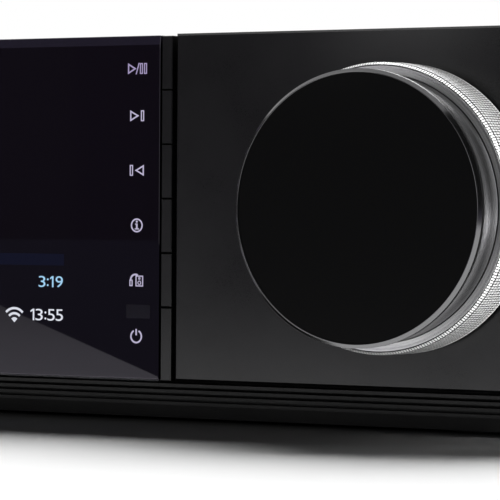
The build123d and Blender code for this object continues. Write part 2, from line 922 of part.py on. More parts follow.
with BuildPart() as volume_knob:
    with BuildSketch(knob_plane):
        with BuildLine():
            Polyline(
                (knob_foot_radius, -foot_start),
                (knob_skirt_radius, -foot_start),
                (knob_skirt_radius, -skirt_end),
                (skirt_inner_radius, -skirt_end),
                (skirt_inner_radius, -wall_back),
                (knob_hub_radius, -wall_back),
                (knob_hub_radius, -hub_end),
                (shaft_radius, -hub_end),
                (shaft_radius, -shaft_front),
                (0, -shaft_front),
                (0, -(knob_reach - recess_depth)),
                (recess_radius, -(knob_reach - recess_depth)),
                (recess_radius, -knob_reach),
                (knob_rim_radius - knob_rim_chamfer, -knob_reach),
                (knob_rim_radius, -(knob_reach - knob_rim_chamfer)),
                (knob_rim_radius, -rim_back),
            )
            ThreePointArc(
                (knob_rim_radius, -rim_back),
                (knob_neck_radius, -neck_middle),
                (knob_foot_radius, -foot_start),
            )
        make_face()
    revolve(axis=knob_axis, revolution_arc=360)
volume_knob.part.label = "volume_knob"
export_step(volume_knob.part, "parts/volume_knob.step")

with BuildPart() as knob_cap:
    cap_back = front_y - knob_reach + recess_depth
    rods_back(recess_radius - press_clearance, knob_place, (cap_back - cap_thickness, cap_back))
knob_cap.part.label = "knob_cap"
export_step(knob_cap.part, "parts/knob_cap.step")

with BuildPart() as volume_shaft:
    rods_back(
        shaft_radius, knob_place, (front_y - shaft_front, shaft_seat_end - shaft_end_gap)
    )
volume_shaft.part.label = "volume_shaft"
export_step(volume_shaft.part, "parts/volume_shaft.step")

# Double encoder behind the plate, held by a nut in the plate's recess
with BuildPart() as knob_encoder:
    block(
        around(knob_x, encoder_size), (frame_back, encoder_back), around(knob_z, encoder_size)
    )
    rods_back(bushing_radius, knob_place, (bushing_front, frame_back))
    rods_back(
        tube_radius + running_clearance,
        knob_place,
        (bushing_front - cut_overrun, tube_seat_end),
        mode=Mode.SUBTRACT,
    )
    rods_back(
        shaft_radius + running_clearance,
        knob_place,
        (tube_seat_end, shaft_seat_end),
        mode=Mode.SUBTRACT,
    )
knob_encoder.part.label = "knob_encoder"
export_step(knob_encoder.part, "parts/knob_encoder.step")

nut_seat = front_y + nut_recess_depth

with BuildPart() as encoder_nut:
    with BuildSketch(across(nut_seat - nut_thickness)):
        with Locations(*knob_place):
            RegularPolygon(nut_flats / 2, 6, major_radius=False)
            Circle(bushing_radius + press_clearance, mode=Mode.SUBTRACT)
    extrude(amount=-nut_thickness)
encoder_nut.part.label = "encoder_nut"
export_step(encoder_nut.part, "parts/encoder_nut.step")

# Boards of the screen, of the buttons' switches and of the encoder
display_back = glass_back + display_thickness

with BuildPart() as front_boards:
    block(
        around(sum(display_x) / 2, display_board_width),
        (display_back, display_back + board_thickness),
        around(sum(display_z) / 2, display_board_height),
    )
    block(
        button_board_x,
        (button_board_front, button_board_front + board_thickness),
        button_board_z,
    )
    block(control_x, (encoder_back, encoder_back + board_thickness), control_z)
front_boards.part.label = "front_boards"
export_step(front_boards.part, "parts/front_boards.step")

# Headphone socket through the front plate
with BuildPart() as headphone_socket:
    socket_front = front_y + headphone_set_back
    block(
        around(headphone_x, headphone_body_size),
        (frame_back, frame_back + headphone_body_size),
        around(headphone_z, headphone_body_size),
    )
    rods_back(headphone_barrel_radius, headphone_place, (socket_front, frame_back))
    rods_back(
        headphone_radius,
        headphone_place,
        (socket_front - cut_overrun, socket_front + headphone_depth),
        mode=Mode.SUBTRACT,
    )
headphone_socket.part.label = "headphone_socket"
export_step(headphone_socket.part, "parts/headphone_socket.step")

# Mains inlet with three blades
inlet_back = rear_y - inlet_body_depth
inlet_face = rear_y + inlet_flange_thickness
inlet_floor = inlet_face - inlet_mouth_depth
blade_places = [
    (inlet_x - blade_spacing / 2, inlet_z - blade_rise),
    (inlet_x + blade_spacing / 2, inlet_z - blade_rise),
    (inlet_x, inlet_z + blade_rise),
]


def blades(y, margin, mode=Mode.ADD):
    """The three blades, or the slots for them when a margin is given."""
    with BuildSketch(across(y[0])) as sections:
        with Locations(*blade_places):
            Rectangle(blade_width + 2 * margin, blade_height + 2 * margin)
    extrude(sections.sketch, amount=y[0] - y[1], mode=mode)


with BuildPart() as mains_inlet:
    block(
        around(inlet_x, inlet_body_width), (inlet_back, rear_y), around(inlet_z, inlet_body_height)
    )
    with BuildSketch(across(rear_y)):
        with Locations((inlet_x, inlet_z)):
            RectangleRounded(inlet_flange_width, inlet_flange_height, inlet_corner)
    extrude(amount=-inlet_flange_thickness)
    with BuildSketch(across(inlet_floor)) as inlet_mouth:
        with Locations((inlet_x, inlet_z)):
            Rectangle(inlet_mouth_width, inlet_mouth_height)
        chamfer(inlet_mouth.vertices().group_by(Axis.Z)[-1], length=inlet_corner)
    extrude(amount=-(inlet_mouth_depth + cut_overrun), mode=Mode.SUBTRACT)
    blades((inlet_back - cut_overrun, inlet_floor + cut_overrun), press_clearance, Mode.SUBTRACT)
mains_inlet.part.label = "mains_inlet"
export_step(mains_inlet.part, "parts/mains_inlet.step")

with BuildPart() as inlet_pins:
    blades((inlet_back - blade_tail, inlet_face - blade_set_back), 0)
inlet_pins.part.label = "inlet_pins"
export_step(inlet_pins.part, "parts/inlet_pins.step")

# Mains switch: a frame and a rocker that rests tilted to off
switch_face = rear_y + switch_flange_thickness
pivot_y = rear_y - rocker_pivot_depth
rocker_half_width = switch_mouth_width / 2 - rocker_side_gap
pin_half = rocker_half_width + rocker_side_gap + rocker_pin_length
rocker_profile = [
    (rocker_horn, rocker_half_height),
    (rocker_waist, 0),
    (rocker_horn, -rocker_half_height),
    (rocker_shoulder, -rocker_half_height),
    (-rocker_root, -rocker_root),
    (-rocker_root, rocker_root),
    (rocker_shoulder, rocker_half_height),
]


def rocker_plane(x):
    """A plane square to the rocker's pin, turned with the rocker's resting tilt."""
    tilt = math.radians(-rocker_tilt)
    return Plane(
        origin=(x, pivot_y, switch_z),
        x_dir=(0, math.cos(tilt), math.sin(tilt)),
        z_dir=(1, 0, 0),
    )


with BuildPart() as switch_frame:
    block(
        around(inlet_x, switch_body_width),
        (rear_y - switch_body_depth, rear_y),
        around(switch_z, switch_body_height),
    )
    block(
        around(inlet_x, switch_flange_width),
        (rear_y, switch_face),
        around(switch_z, switch_flange_height),
    )
    block(
        around(inlet_x, switch_mouth_width),
        (switch_face - switch_mouth_depth, switch_face + cut_overrun),
        around(switch_z, switch_mouth_height),
        mode=Mode.SUBTRACT,
    )
    with BuildSketch(rocker_plane(inlet_x - pin_half - press_clearance)):
        Circle(rocker_pin_radius + running_clearance)
    extrude(amount=2 * (pin_half + press_clearance), mode=Mode.SUBTRACT)
switch_frame.part.label = "switch_frame"
export_step(switch_frame.part, "parts/switch_frame.step")

with BuildPart() as power_rocker:
    with BuildSketch(rocker_plane(inlet_x - rocker_half_width)):
        Polygon(*rocker_profile, align=None)
    extrude(amount=2 * rocker_half_width)
    with BuildSketch(rocker_plane(inlet_x - pin_half)):
        Circle(rocker_pin_radius)
    extrude(amount=2 * pin_half)
power_rocker.part.label = "power_rocker"
export_step(power_rocker.part, "parts/power_rocker.step")

# Loudspeaker terminals: plate, studs with nuts, and screw caps
plate_face = rear_y + post_plate_thickness
collar_face = plate_face + post_collar_length
boss_back = rear_y - post_boss_depth - rear_panel_thickness
nut_front = boss_back - post_nut_thickness
cap_end = rear_y + post_reach
stud_end = cap_end - post_set_back
stud_back = boss_back - post_inner_length + post_boss_depth

with BuildPart() as terminal_plate:
    block(post_boss_span, (boss_back, rear_y), around(post_z, post_boss_height))
    block(post_plate_span, (rear_y, plate_face), around(post_z, post_plate_height))
    rods_back(
        post_radius + press_clearance,
        post_places,
        (boss_back - cut_overrun, plate_face + cut_overrun),
        mode=Mode.SUBTRACT,
    )
terminal_plate.part.label = "terminal_plate"
export_step(terminal_plate.part, "parts/terminal_plate.step")

with BuildPart() as terminal_studs:
    rods_back(post_radius, post_places, (stud_back, stud_end))
    rods_back(post_collar_radius, post_places, (plate_face, collar_face))
    rods_back(
        post_bore_radius,
        post_places,
        (stud_end - post_bore_depth, stud_end + cut_overrun),
        mode=Mode.SUBTRACT,
    )
    with BuildSketch(across(nut_front)):
        with Locations(*post_places):
            RegularPolygon(post_nut_flats / 2, 6, major_radius=False)
            Circle(post_radius + press_clearance, mode=Mode.SUBTRACT)
    extrude(amount=-post_nut_thickness)
terminal_studs.part.label = "terminal_studs"
export_step(terminal_studs.part, "parts/terminal_studs.step")

for cap_name, post_x in zip(cap_names, post_xs):
    with BuildPart() as terminal_cap:
        cap_place = [(post_x, post_z)]
        rods_back(post_cap_radius, cap_place, (collar_face + panel_gap, cap_end))
        rods_back(
            post_radius + running_clearance,
            cap_place,
            (collar_face, cap_end + cut_overrun),
            mode=Mode.SUBTRACT,
        )
    terminal_cap.part.label = f"terminal_cap_{cap_name}"
    export_step(terminal_cap.part, f"parts/terminal_cap_{cap_name}.step")

# Phono sockets: three blocks of two, with metal barrels round moulded cores
nose_end = rear_y + phono_nose_length
barrel_root = nose_end - phono_barrel_root
barrel_end = nose_end + phono_barrel_length
core_end = barrel_end - phono_core_set_back
barrel_inner_radius = phono_barrel_radius - phono_barrel_wall
block_top = phono_rows[-1] + phono_foot

with BuildPart() as rca_housings:
    for phono_x in phono_xs:
        block(
            around(phono_x, phono_block_width),
            (panel_front - phono_block_depth, panel_front),
            (board_top, block_top),
        )
    rods_back(phono_nose_radius, phono_places, (panel_front, nose_end))
    with BuildSketch(across(barrel_root)):
        with Locations(*phono_places):
            Circle(phono_barrel_root_radius + press_clearance)
            Circle(barrel_inner_radius - press_clearance, mode=Mode.SUBTRACT)
    extrude(amount=-(phono_barrel_root + cut_overrun), mode=Mode.SUBTRACT)
    rods_back(barrel_inner_radius - press_clearance, phono_places, (barrel_root, core_end))
    rods_back(
        phono_contact_radius,
        phono_places,
        (core_end - phono_contact_depth, core_end + cut_overrun),
        mode=Mode.SUBTRACT,
    )
rca_housings.part.label = "rca_housings"
export_step(rca_housings.part, "parts/rca_housings.step")

with BuildPart() as rca_barrels:
    rods_back(phono_barrel_root_radius, phono_places, (barrel_root, nose_end))
    rods_back(phono_barrel_radius, phono_places, (nose_end, barrel_end))
    rods_back(
        barrel_inner_radius,
        phono_places,
        (barrel_root - cut_overrun, barrel_end + cut_overrun),
        mode=Mode.SUBTRACT,
    )
rca_barrels.part.label = "rca_barrels"
export_step(rca_barrels.part, "parts/rca_barrels.step")

# Network socket
with BuildPart() as ethernet_socket:
    block(
        around(ethernet_x, ethernet_width),
        (socket_end - ethernet_depth, socket_end),
        (board_top, board_top + ethernet_height),
    )
    ethernet_floor = board_top + ethernet_mouth_rise
    block(
        around(ethernet_x, ethernet_mouth_width),
        (socket_end - ethernet_mouth_depth, socket_end + cut_overrun),
        (ethernet_floor, ethernet_floor + ethernet_mouth_height),
        mode=Mode.SUBTRACT,
    )
ethernet_socket.part.label = "ethernet_socket"
export_step(ethernet_socket.part, "parts/ethernet_socket.step")

# Flat data sockets, each a shell with a tongue inside
with BuildPart() as usb_socket:
    block(
        around(usb_x, usb_width),
        (socket_end - usb_depth, socket_end),
        (board_top, board_top + usb_height),
    )
    usb_mouth = (socket_end - usb_mouth_depth, socket_end + cut_overrun)
    block(
        wider(around(usb_x, usb_width), -usb_wall),
        usb_mouth,
        wider((board_top, board_top + usb_height), -usb_wall),
        mode=Mode.SUBTRACT,
    )
    usb_tongue_top = board_top + usb_height - usb_wall
    block(
        wider(around(usb_x, usb_width), -(usb_wall + usb_tongue_gap)),
        (socket_end - usb_mouth_depth - cut_overrun, socket_end - usb_tongue_gap),
        (usb_tongue_top - usb_tongue_thickness, usb_tongue_top),
    )
usb_socket.part.label = "usb_socket"
export_step(usb_socket.part, "parts/usb_socket.step")

with BuildPart() as hdmi_socket:
    block(
        around(hdmi_x, hdmi_width),
        (socket_end - hdmi_depth, socket_end),
        (board_top, board_top + hdmi_height),
    )
    with BuildSketch(across(socket_end - hdmi_mouth_depth)) as hdmi_mouth:
        with Locations((hdmi_x, board_top + hdmi_height / 2)):
            Rectangle(hdmi_width - 2 * hdmi_wall, hdmi_height - 2 * hdmi_wall)
        chamfer(hdmi_mouth.vertices().group_by(Axis.Z)[0], length=hdmi_corner)
    extrude(amount=-(hdmi_mouth_depth + cut_overrun), mode=Mode.SUBTRACT)
    hdmi_tongue_z = board_top + hdmi_height / 2
    block(
        wider(around(hdmi_x, hdmi_width), -(hdmi_wall + hdmi_tongue_gap)),
        (socket_end - hdmi_mouth_depth - cut_overrun, socket_end - hdmi_tongue_gap),
        around(hdmi_tongue_z, hdmi_tongue_thickness),
    )
hdmi_socket.part.label = "hdmi_socket"
export_step(hdmi_socket.part, "parts/hdmi_socket.step")

# Optical input, closed by a flap that hangs from a pin
flap_y = socket_end - flap_set_back
mouth_top = optical_z + optical_mouth / 2
flap_pin_z = mouth_top - flap_pin_drop
flap_pin_half = optical_mouth / 2 + flap_pin_seat

with BuildPart() as optical_socket:
    block(
        around(optical_x, optical_width),
        (socket_end - optical_depth, socket_end),
        around(optical_z, optical_height),
    )
    block(
        around(optical_x, optical_mouth),
        (socket_end - optical_mouth_depth, socket_end + cut_overrun),
        around(optical_z, optical_mouth),
        mode=Mode.SUBTRACT,
    )
    with BuildSketch(Plane.YZ.offset(optical_x - flap_pin_half - press_clearance)):
        with Locations((flap_y, flap_pin_z)):
            Circle(flap_pin_radius + running_clearance)
    extrude(amount=2 * (flap_pin_half + press_clearance), mode=Mode.SUBTRACT)
optical_socket.part.label = "optical_socket"
export_step(optical_socket.part, "parts/optical_socket.step")

with BuildPart() as optical_shutter:
    block(
        wider(around(optical_x, optical_mouth), -panel_gap),
        around(flap_y, flap_thickness),
        (optical_z - optical_mouth / 2 + panel_gap, flap_pin_z),
    )
    with BuildSketch(Plane.YZ.offset(optical_x - flap_pin_half)):
        with Locations((flap_y, flap_pin_z)):
            Circle(flap_pin_radius)
    extrude(amount=2 * flap_pin_half)
optical_shutter.part.label = "optical_shutter"
export_step(optical_shutter.part, "parts/optical_shutter.step")

# Boards on the floor of the case
main_x = (phono_span[0] - main_board_left_margin, ethernet_span[1] + main_board_right_margin)
main_back = panel_front - main_board_rear_gap
main_y = (main_back - main_board_depth, main_back)
supply_x = (
    frame_inner_half - supply_edge_gap - supply_board_width,
    frame_inner_half - supply_edge_gap,
)
supply_y = (main_y[0] - board_gap - supply_board_depth, main_y[0] - board_gap)
amplifier_x = (-frame_inner_half + supply_edge_gap, main_x[0] - board_gap)
amplifier_back = stud_back - amplifier_post_gap
amplifier_y = (amplifier_back - amplifier_board_depth, amplifier_back)
board_heights = (board_bottom, board_top)

with BuildPart() as main_board:
    block(main_x, main_y, board_heights)
main_board.part.label = "main_board"
export_step(main_board.part, "parts/main_board.step")

chip_sizes = [
    (processor_size, processor_size, processor_height),
    (memory_size, memory_size, memory_height),
    (network_chip_width, network_chip_depth, network_chip_height),
]

with BuildPart() as main_board_chips:
    for chip_number, (chip_width, chip_depth, chip_height) in enumerate(chip_sizes):
        chip_x = main_x[0] + chip_front_margin + chip_number * chip_spacing
        block(
            around(chip_x, chip_width),
            around(main_y[0] + chip_front_margin, chip_depth),
            (board_top, board_top + chip_height),
        )
main_board_chips.part.label = "main_board_chips"
export_step(main_board_chips.part, "parts/main_board_chips.step")

with BuildPart() as power_supply_board:
    block(supply_x, supply_y, board_heights)
power_supply_board.part.label = "power_supply_board"
export_step(power_supply_board.part, "parts/power_supply_board.step")

with BuildPart() as supply_parts:
    transformer_x = supply_x[0] + supply_part_margin
    transformer_y = supply_y[0] + supply_part_margin
    block(
        (transformer_x, transformer_x + transformer_width),
        (transformer_y, transformer_y + transformer_depth),
        (board_top, board_top + transformer_height),
    )
    capacitor_y = supply_y[1] - supply_part_margin
    rods_up(
        capacitor_radius,
        [
            (supply_x[0] + supply_part_margin + number * capacitor_pitch, capacitor_y)
            for number in range(capacitor_count)
        ],
        (board_top, board_top + capacitor_height),
    )
supply_parts.part.label = "supply_parts"
export_step(supply_parts.part, "parts/supply_parts.step")

with BuildPart() as amplifier_board:
    block(amplifier_x, amplifier_y, board_heights)
amplifier_board.part.label = "amplifier_board"
export_step(amplifier_board.part, "parts/amplifier_board.step")

# Finned heat sink on the amplifier board
sink_x = wider(amplifier_x, -sink_side_margin)
sink_y = around(sum(amplifier_y) / 2, sink_depth)
sink_fin_pitch = (sink_x[1] - sink_x[0] - sink_fin_thickness) / (sink_fin_count - 1)

with BuildPart() as heatsink:
    block(sink_x, sink_y, (board_top, board_top + sink_base))
    with BuildSketch(Plane.XY.offset(board_top + sink_base)):
        with Locations((sum(sink_x) / 2, sum(sink_y) / 2)):
            with GridLocations(sink_fin_pitch, 0, sink_fin_count, 1):
                Rectangle(sink_fin_thickness, sink_depth)
    extrude(amount=sink_fin_height)
heatsink.part.label = "heatsink"
export_step(heatsink.part, "parts/heatsink.step")

with BuildPart() as board_standoffs:
    standoff_places = [
        (x, y)
        for board_x, board_y in (
            (main_x, main_y),
            (supply_x, supply_y),
            (amplifier_x, amplifier_y),
        )
        for x in wider(board_x, -standoff_inset)
        for y in wider(board_y, -standoff_inset)
    ]
    rods_up(standoff_radius, standoff_places, (tray_top, board_bottom))
board_standoffs.part.label = "board_standoffs"
export_step(board_standoffs.part, "parts/board_standoffs.step")
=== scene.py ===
"""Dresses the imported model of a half-width music streamer: glass front, lit signs and screen,
knurled double knob, sockets at the back, and a plain studio round it. Sizes in metres."""

import math

import bpy
from mathutils import Matrix, Vector


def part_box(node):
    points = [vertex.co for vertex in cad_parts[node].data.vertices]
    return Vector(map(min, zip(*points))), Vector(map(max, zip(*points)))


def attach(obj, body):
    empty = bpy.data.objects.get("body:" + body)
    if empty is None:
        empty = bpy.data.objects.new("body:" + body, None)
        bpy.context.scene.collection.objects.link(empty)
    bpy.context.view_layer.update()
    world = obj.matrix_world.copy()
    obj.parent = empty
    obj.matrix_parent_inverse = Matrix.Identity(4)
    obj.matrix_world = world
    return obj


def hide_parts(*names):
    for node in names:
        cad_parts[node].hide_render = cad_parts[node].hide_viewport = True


bl_info = {
    "name": "Music streamer dressing",
    "version": (1, 0, 0),
    "blender": (4, 5, 0),
    "location": "View3D > Sidebar > Streamer",
    "description": "Finishes, signs, knob and sockets of a half-width music streamer",
    "category": "Object",
}

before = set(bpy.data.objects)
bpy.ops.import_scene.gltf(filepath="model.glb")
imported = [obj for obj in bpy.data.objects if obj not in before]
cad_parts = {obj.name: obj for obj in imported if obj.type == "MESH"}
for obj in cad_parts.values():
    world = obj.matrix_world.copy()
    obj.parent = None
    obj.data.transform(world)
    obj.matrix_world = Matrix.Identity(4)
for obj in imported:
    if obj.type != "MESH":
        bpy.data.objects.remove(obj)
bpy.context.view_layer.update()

MM = 0.001
WHITE = (1, 1, 1, 1)
# Thickness of the outer ring's web, in front of which the inner knob's skirt ends
RING_WEB = 3.0 * MM
# Points this close to a plane count as lying in it
CLOSE = 1e-5


# Sizes and colours that a user would change


def length(name, description, value):
    """One length that a user can change, given in millimetres."""
    return bpy.props.FloatProperty(
        name=name, description=description, default=value * MM, unit="LENGTH"
    )


def count(name, description, value):
    """One number of repeats that a user can change."""
    return bpy.props.IntProperty(name=name, description=description, default=value)


def level(name, description, value):
    """One strength or plain number that a user can change."""
    return bpy.props.FloatProperty(name=name, description=description, default=value)


def colour(name, description, value):
    """One colour that a user can change."""
    return bpy.props.FloatVectorProperty(
        name=name, description=description, default=value, size=3, subtype="COLOR", min=0, max=1
    )


class FrontSizes(bpy.types.PropertyGroup):
    """Sizes of the front's pieces."""

    glass_top_slope: length(
        "Glass top slope", "Height of the sloped band along the glass's top edge", 2.1
    )
    glass_slope_depth: length(
        "Glass slope depth", "How far the sloped band leans back at its top", 0.34
    )
    glass_foot: length(
        "Glass ground foot", "Height of the ground edge along the glass's bottom", 0.5
    )
    stroke: length("Sign stroke", "Width of the lines that draw the signs", 0.33)
    print_height: length("Sign height", "Thickness of the signs and the screen's picture", 0.03)
    knurl_columns: count("Knurl columns", "Knurl points round the ring", 300)
    knurl_rows: count("Knurl rows", "Knurl points along the ring", 7)
    knurl_height: length("Knurl height", "Height of one knurl point", 0.28)
    knurl_stand: length("Knurl stand", "How far the knurl stands over the ring's body", 0.38)
    turning_steps: count("Turning steps", "Steps round each turned piece", 192)


class RearSizes(bpy.types.PropertyGroup):
    """Sizes of the pieces at the back."""

    cap_flutes: count("Cap flutes", "Flutes round a loudspeaker terminal's cap", 24)
    flute_depth: length("Flute depth", "Depth of a flute in a terminal's cap", 0.5)
    phono_band: length("Phono band", "Height of the coloured ring round a phono socket", 0.4)


class Colours(bpy.types.PropertyGroup):
    """Base colours of the finishes."""

    plate: colour("Front plate", "Satin anodised front plate and buttons", (0.035, 0.035, 0.0355))
    glass: colour("Glass", "Gloss black glass", (0.0026, 0.0016, 0.0046))
    glass_screen: colour("Screen area", "Glass over the dark screen", (0.0034, 0.0026, 0.0052))
    # Colour of the glass's ground foot: partly the ground glass, partly a painted highlight along
    # its bottom edge
    glass_foot_highlight: colour("Glass foot highlight", "Ground foot of the glass", (0.15, 0.15, 0.16))
    sign: colour("Signs", "Light of the signs", (0.50, 0.46, 0.63))
    sign_dim: colour("Dim sign", "Light of the weaker play sign", (0.36, 0.30, 0.50))
    time_now: colour("Elapsed time", "Light of the elapsed time", (0.36, 0.62, 0.86))
    screen_white: colour("Screen white", "Light of the clock", (0.72, 0.74, 0.82))
    screen_bar: colour("Screen bar", "Light of the progress bar", (0.0060, 0.0066, 0.0170))
    ring: colour("Outer ring", "Bright turned aluminium", (0.62, 0.62, 0.63))
    # The knurl's pale, mostly dull colour is painted sheen: a lighter copy of the ring's aluminium
    # that stands in for the knurl's glints
    knurl: colour("Knurl", "Bright aluminium of the ring's knurl", (0.96, 0.96, 0.96))
    knob: colour("Inner knob", "Dark polished aluminium", (0.10, 0.10, 0.102))
    disc: colour("Knob disc", "Satin black disc", (0.0040, 0.0040, 0.0042))
    plastic: colour("Black plastic", "Textured black mouldings", (0.012, 0.012, 0.0125))
    paint: colour("Case paint", "Fine textured black paint", (0.015, 0.015, 0.0155))
    gold: colour("Gold plate", "Plated contacts", (0.83, 0.61, 0.27))
    red: colour("Red", "Red markings and caps", (0.45, 0.012, 0.012))
    floor: colour("Floor", "Pale floor", (0.86, 0.86, 0.86))


class StudioSettings(bpy.types.PropertyGroup):
    """Camera and lights."""

    camera_place: bpy.props.FloatVectorProperty(
        name="Camera place",
        description="Where the camera stands",
        default=(427.80 * MM, -780.20 * MM, 49.54 * MM),
        size=3,
        subtype="TRANSLATION",
        precision=5,
    )
    camera_aim: bpy.props.FloatVectorProperty(
        name="Camera aim",
        description="Turn to the side, lean down and roll, in degrees",
        default=(30.328, 0.752, 0.357),
        size=3,
    )
    lens: level("Lens", "Focal length for a 36 mm sensor", 232.83)
    soft_light: level("Soft light", "Power of the light above and behind", 78.0)
    side_light: level("Side light", "Power of the low light on the right, behind the front", 3.0)
    front_light: level("Front light", "Power of the faint light in front", 0.2)
    ring_light: level("Ring light", "Power of the lamp that lights only the knurled ring", 3.4)
    low_ring_light: level("Low ring light", "Power of the lamp under the knurled ring", 0.5)
    base_light: level("Base light", "Power of the lamp that lights only the plinth", 0.9)
    fill: level("Fill", "Strength of the even light from all round", 0.015)


def front():
    return bpy.context.scene.streamer_front


def rear():
    return bpy.context.scene.streamer_rear


def colours():
    return bpy.context.scene.streamer_colours


def studio():
    return bpy.context.scene.streamer_studio


# Modelling helpers


def mode(name):
    bpy.ops.object.mode_set(mode=name)


def select_all():
    bpy.ops.mesh.select_all(action="SELECT")


def clear_selection():
    """Leaves nothing selected, so that the next tool acts on the new piece alone."""
    if bpy.context.object and bpy.context.object.mode != "OBJECT":
        mode("OBJECT")
    bpy.ops.object.select_all(action="DESELECT")


def activate(piece):
    """Selects this piece alone and makes it the active one."""
    clear_selection()
    piece.select_set(True)
    bpy.context.view_layer.objects.active = piece


def settle():
    """Moves the piece's place, turn and size into its mesh."""
    bpy.ops.object.transform_apply(location=True, rotation=True, scale=True)


def extrude(step):
    bpy.ops.mesh.extrude_region_move(TRANSFORM_OT_translate={"value": step})


def widen(size, centre, y):
    """Scales the selected points about the line along Y through centre (x, z)."""
    bpy.ops.transform.resize(value=(size, 1, size), center_override=(centre[0], y, centre[1]))


def middle_line(low, high):
    """The (x, z) place of the line along Y through the middle of a box."""
    return ((low.x + high.x) / 2, (low.z + high.z) / 2)


def reach(place, centre):
    """The distance of a place from the line along Y through centre (x, z)."""
    return math.hypot(place.x - centre[0], place.z - centre[1])


def pick(kind, test):
    """In edit mode, selects the vertices, edges or faces that pass the test."""
    piece = bpy.context.object
    bpy.ops.mesh.select_mode(type=kind)
    bpy.ops.mesh.select_all(action="DESELECT")
    mode("OBJECT")
    mesh = piece.data
    parts = {"VERT": mesh.vertices, "EDGE": mesh.edges, "FACE": mesh.polygons}[kind]
    for part in parts:
        part.select = bool(test(mesh, part))
    mode("EDIT")


def block(low, high):
    """A block between two corners, ready in edit mode."""
    clear_selection()
    low, high = Vector(low), Vector(high)
    bpy.ops.mesh.primitive_cube_add(size=1, location=(low + high) / 2, scale=high - low)
    settle()
    mode("EDIT")


def slab(origin, low, high, rounding, segments=1):
    """A block with rounded edges, its two corners given in millimetres from the origin."""
    block(*([base + part * MM for base, part in zip(origin, end)] for end in (low, high)))
    mode("OBJECT")
    round_edges(rounding * MM, segments)
    return bpy.context.object


def chain(points):
    """A chain of vertices through the points, drawn from the first one; stays in edit mode."""
    clear_selection()
    bpy.ops.mesh.primitive_plane_add(size=MM, location=points[0])
    settle()
    mode("EDIT")
    bpy.ops.mesh.select_mode(type="VERT")
    select_all()
    bpy.ops.mesh.merge(type="CENTER")
    for here, there in zip(points, points[1:]):
        extrude(Vector(there) - Vector(here))


def turned(points, centre, steps):
    """A piece turned about the line along Y through centre (x, z), from (radius, y) points."""
    chain([(centre[0] + radius, y, centre[1]) for radius, y in points])
    select_all()
    bpy.ops.mesh.spin(
        steps=steps, angle=2 * math.pi, center=(centre[0], 0, centre[1]), axis=(0, 1, 0)
    )
    tidy_surface()


def tidy_surface():
    """Merges doubled points and turns every face outwards."""
    select_all()
    bpy.ops.mesh.remove_doubles(threshold=0.002 * MM)
    bpy.ops.mesh.normals_make_consistent(inside=False)
    mode("OBJECT")


def flat_face(points, y):
    """A flat face through (x, z) points, facing the front; stays in edit mode."""
    chain([(x, y, z) for x, z in points])
    select_all()
    bpy.ops.mesh.edge_face_add()
    select_all()
    mode("OBJECT")
    backwards = bpy.context.object.data.polygons[0].normal.y > 0
    mode("EDIT")
    if backwards:
        select_all()
        bpy.ops.mesh.flip_normals()


def outline(points, stroke, y):
    """A flat closed line of the given stroke round (x, z) points, facing the front."""
    flat_face(points, y)
    select_all()
    bpy.ops.mesh.inset(thickness=stroke, depth=0)
    bpy.ops.mesh.delete(type="FACE")
    mode("OBJECT")
    return bpy.context.object


def patch(points, y):
    """A filled flat shape through (x, z) points, facing the front."""
    flat_face(points, y)
    mode("OBJECT")
    return bpy.context.object


def bar(low, high, y):
    """A filled upright rectangle between two (x, z) corners, facing the front."""
    return patch([low, (high[0], low[1]), high, (low[0], high[1])], y)


def arc_points(centre, radius, start, end, steps):
    """Points along an arc, angles in degrees from the right, turning up."""
    points = []
    for step in range(steps + 1):
        angle = math.radians(start + (end - start) * step / steps)
        points.append((centre[0] + radius * math.cos(angle), centre[1] + radius * math.sin(angle)))
    return points


def circle_points(centre, radius, number=48):
    """Points evenly round a circle."""
    return arc_points(centre, radius, 0, 360 - 360 / number, number - 1)


def band(centre, radius, stroke, start, end, steps, y):
    """A curved stroke along an arc, facing the front."""
    outer = arc_points(centre, radius, start, end, steps)
    inner = arc_points(centre, radius - stroke, end, start, steps)
    return patch(outer + inner, y)


def text_shape(words, height, left, base, y, width):
    """Flat figures of this height and width with their lower left corner at (left, base),
    facing the front."""
    clear_selection()
    bpy.ops.object.text_add(location=(0, 0, 0))
    piece = bpy.context.object
    piece.data.body = words
    piece.data.size = 1
    bpy.ops.object.convert(target="MESH")
    piece = bpy.context.object
    across = [vertex.co.x for vertex in piece.data.vertices]
    upright = [vertex.co.y for vertex in piece.data.vertices]
    size = height / (max(upright) - min(upright))
    stretch = width / (max(across) - min(across))
    piece.scale = (stretch, size, size)
    piece.rotation_euler = (math.pi / 2, 0, 0)
    piece.location = (left - min(across) * stretch, y, base - min(upright) * size)
    settle()
    mode("EDIT")
    select_all()
    bpy.ops.mesh.remove_doubles(threshold=0.0005 * MM)
    mode("OBJECT")
    return piece


def figures(places, height, base, y):
    """A row of figures, each given in millimetres with its left edge and width; a one has a
    small flag."""
    row = []
    for sign, left, width in places:
        left, width = left * MM, width * MM
        if sign == "1":
            stem = 0.16 * height
            right = left + width
            points = [(right - stem, base), (right, base), (right, base + height)]
            points += [(right - stem, base + height), (left, base + height * 0.84)]
            points += [(left, base + height * 0.7), (right - stem, base + height * 0.82)]
            row.append(patch(points, y))
        elif sign == ":":
            for share in (0.1, 0.62):
                middle = (left + width / 2, base + height * (share + 0.08))
                row.append(patch(circle_points(middle, height * 0.095, 12), y))
        else:
            row.append(text_shape(sign, height, left, base, y, width))
    return row


def join(pieces):
    """Joins pieces into the first one."""
    activate(pieces[0])
    for piece in pieces:
        piece.select_set(True)
    if len(pieces) > 1:
        bpy.ops.object.join()
    return bpy.context.object


def copies(offsets):
    """Copies the piece to each offset, every copy with its own mesh, and joins them."""
    first = bpy.context.object
    pieces = [first]
    for offset in offsets:
        activate(first)
        bpy.ops.object.duplicate(linked=False)
        bpy.ops.transform.translate(value=offset)
        settle()
        pieces.append(bpy.context.object)
    return join(pieces)


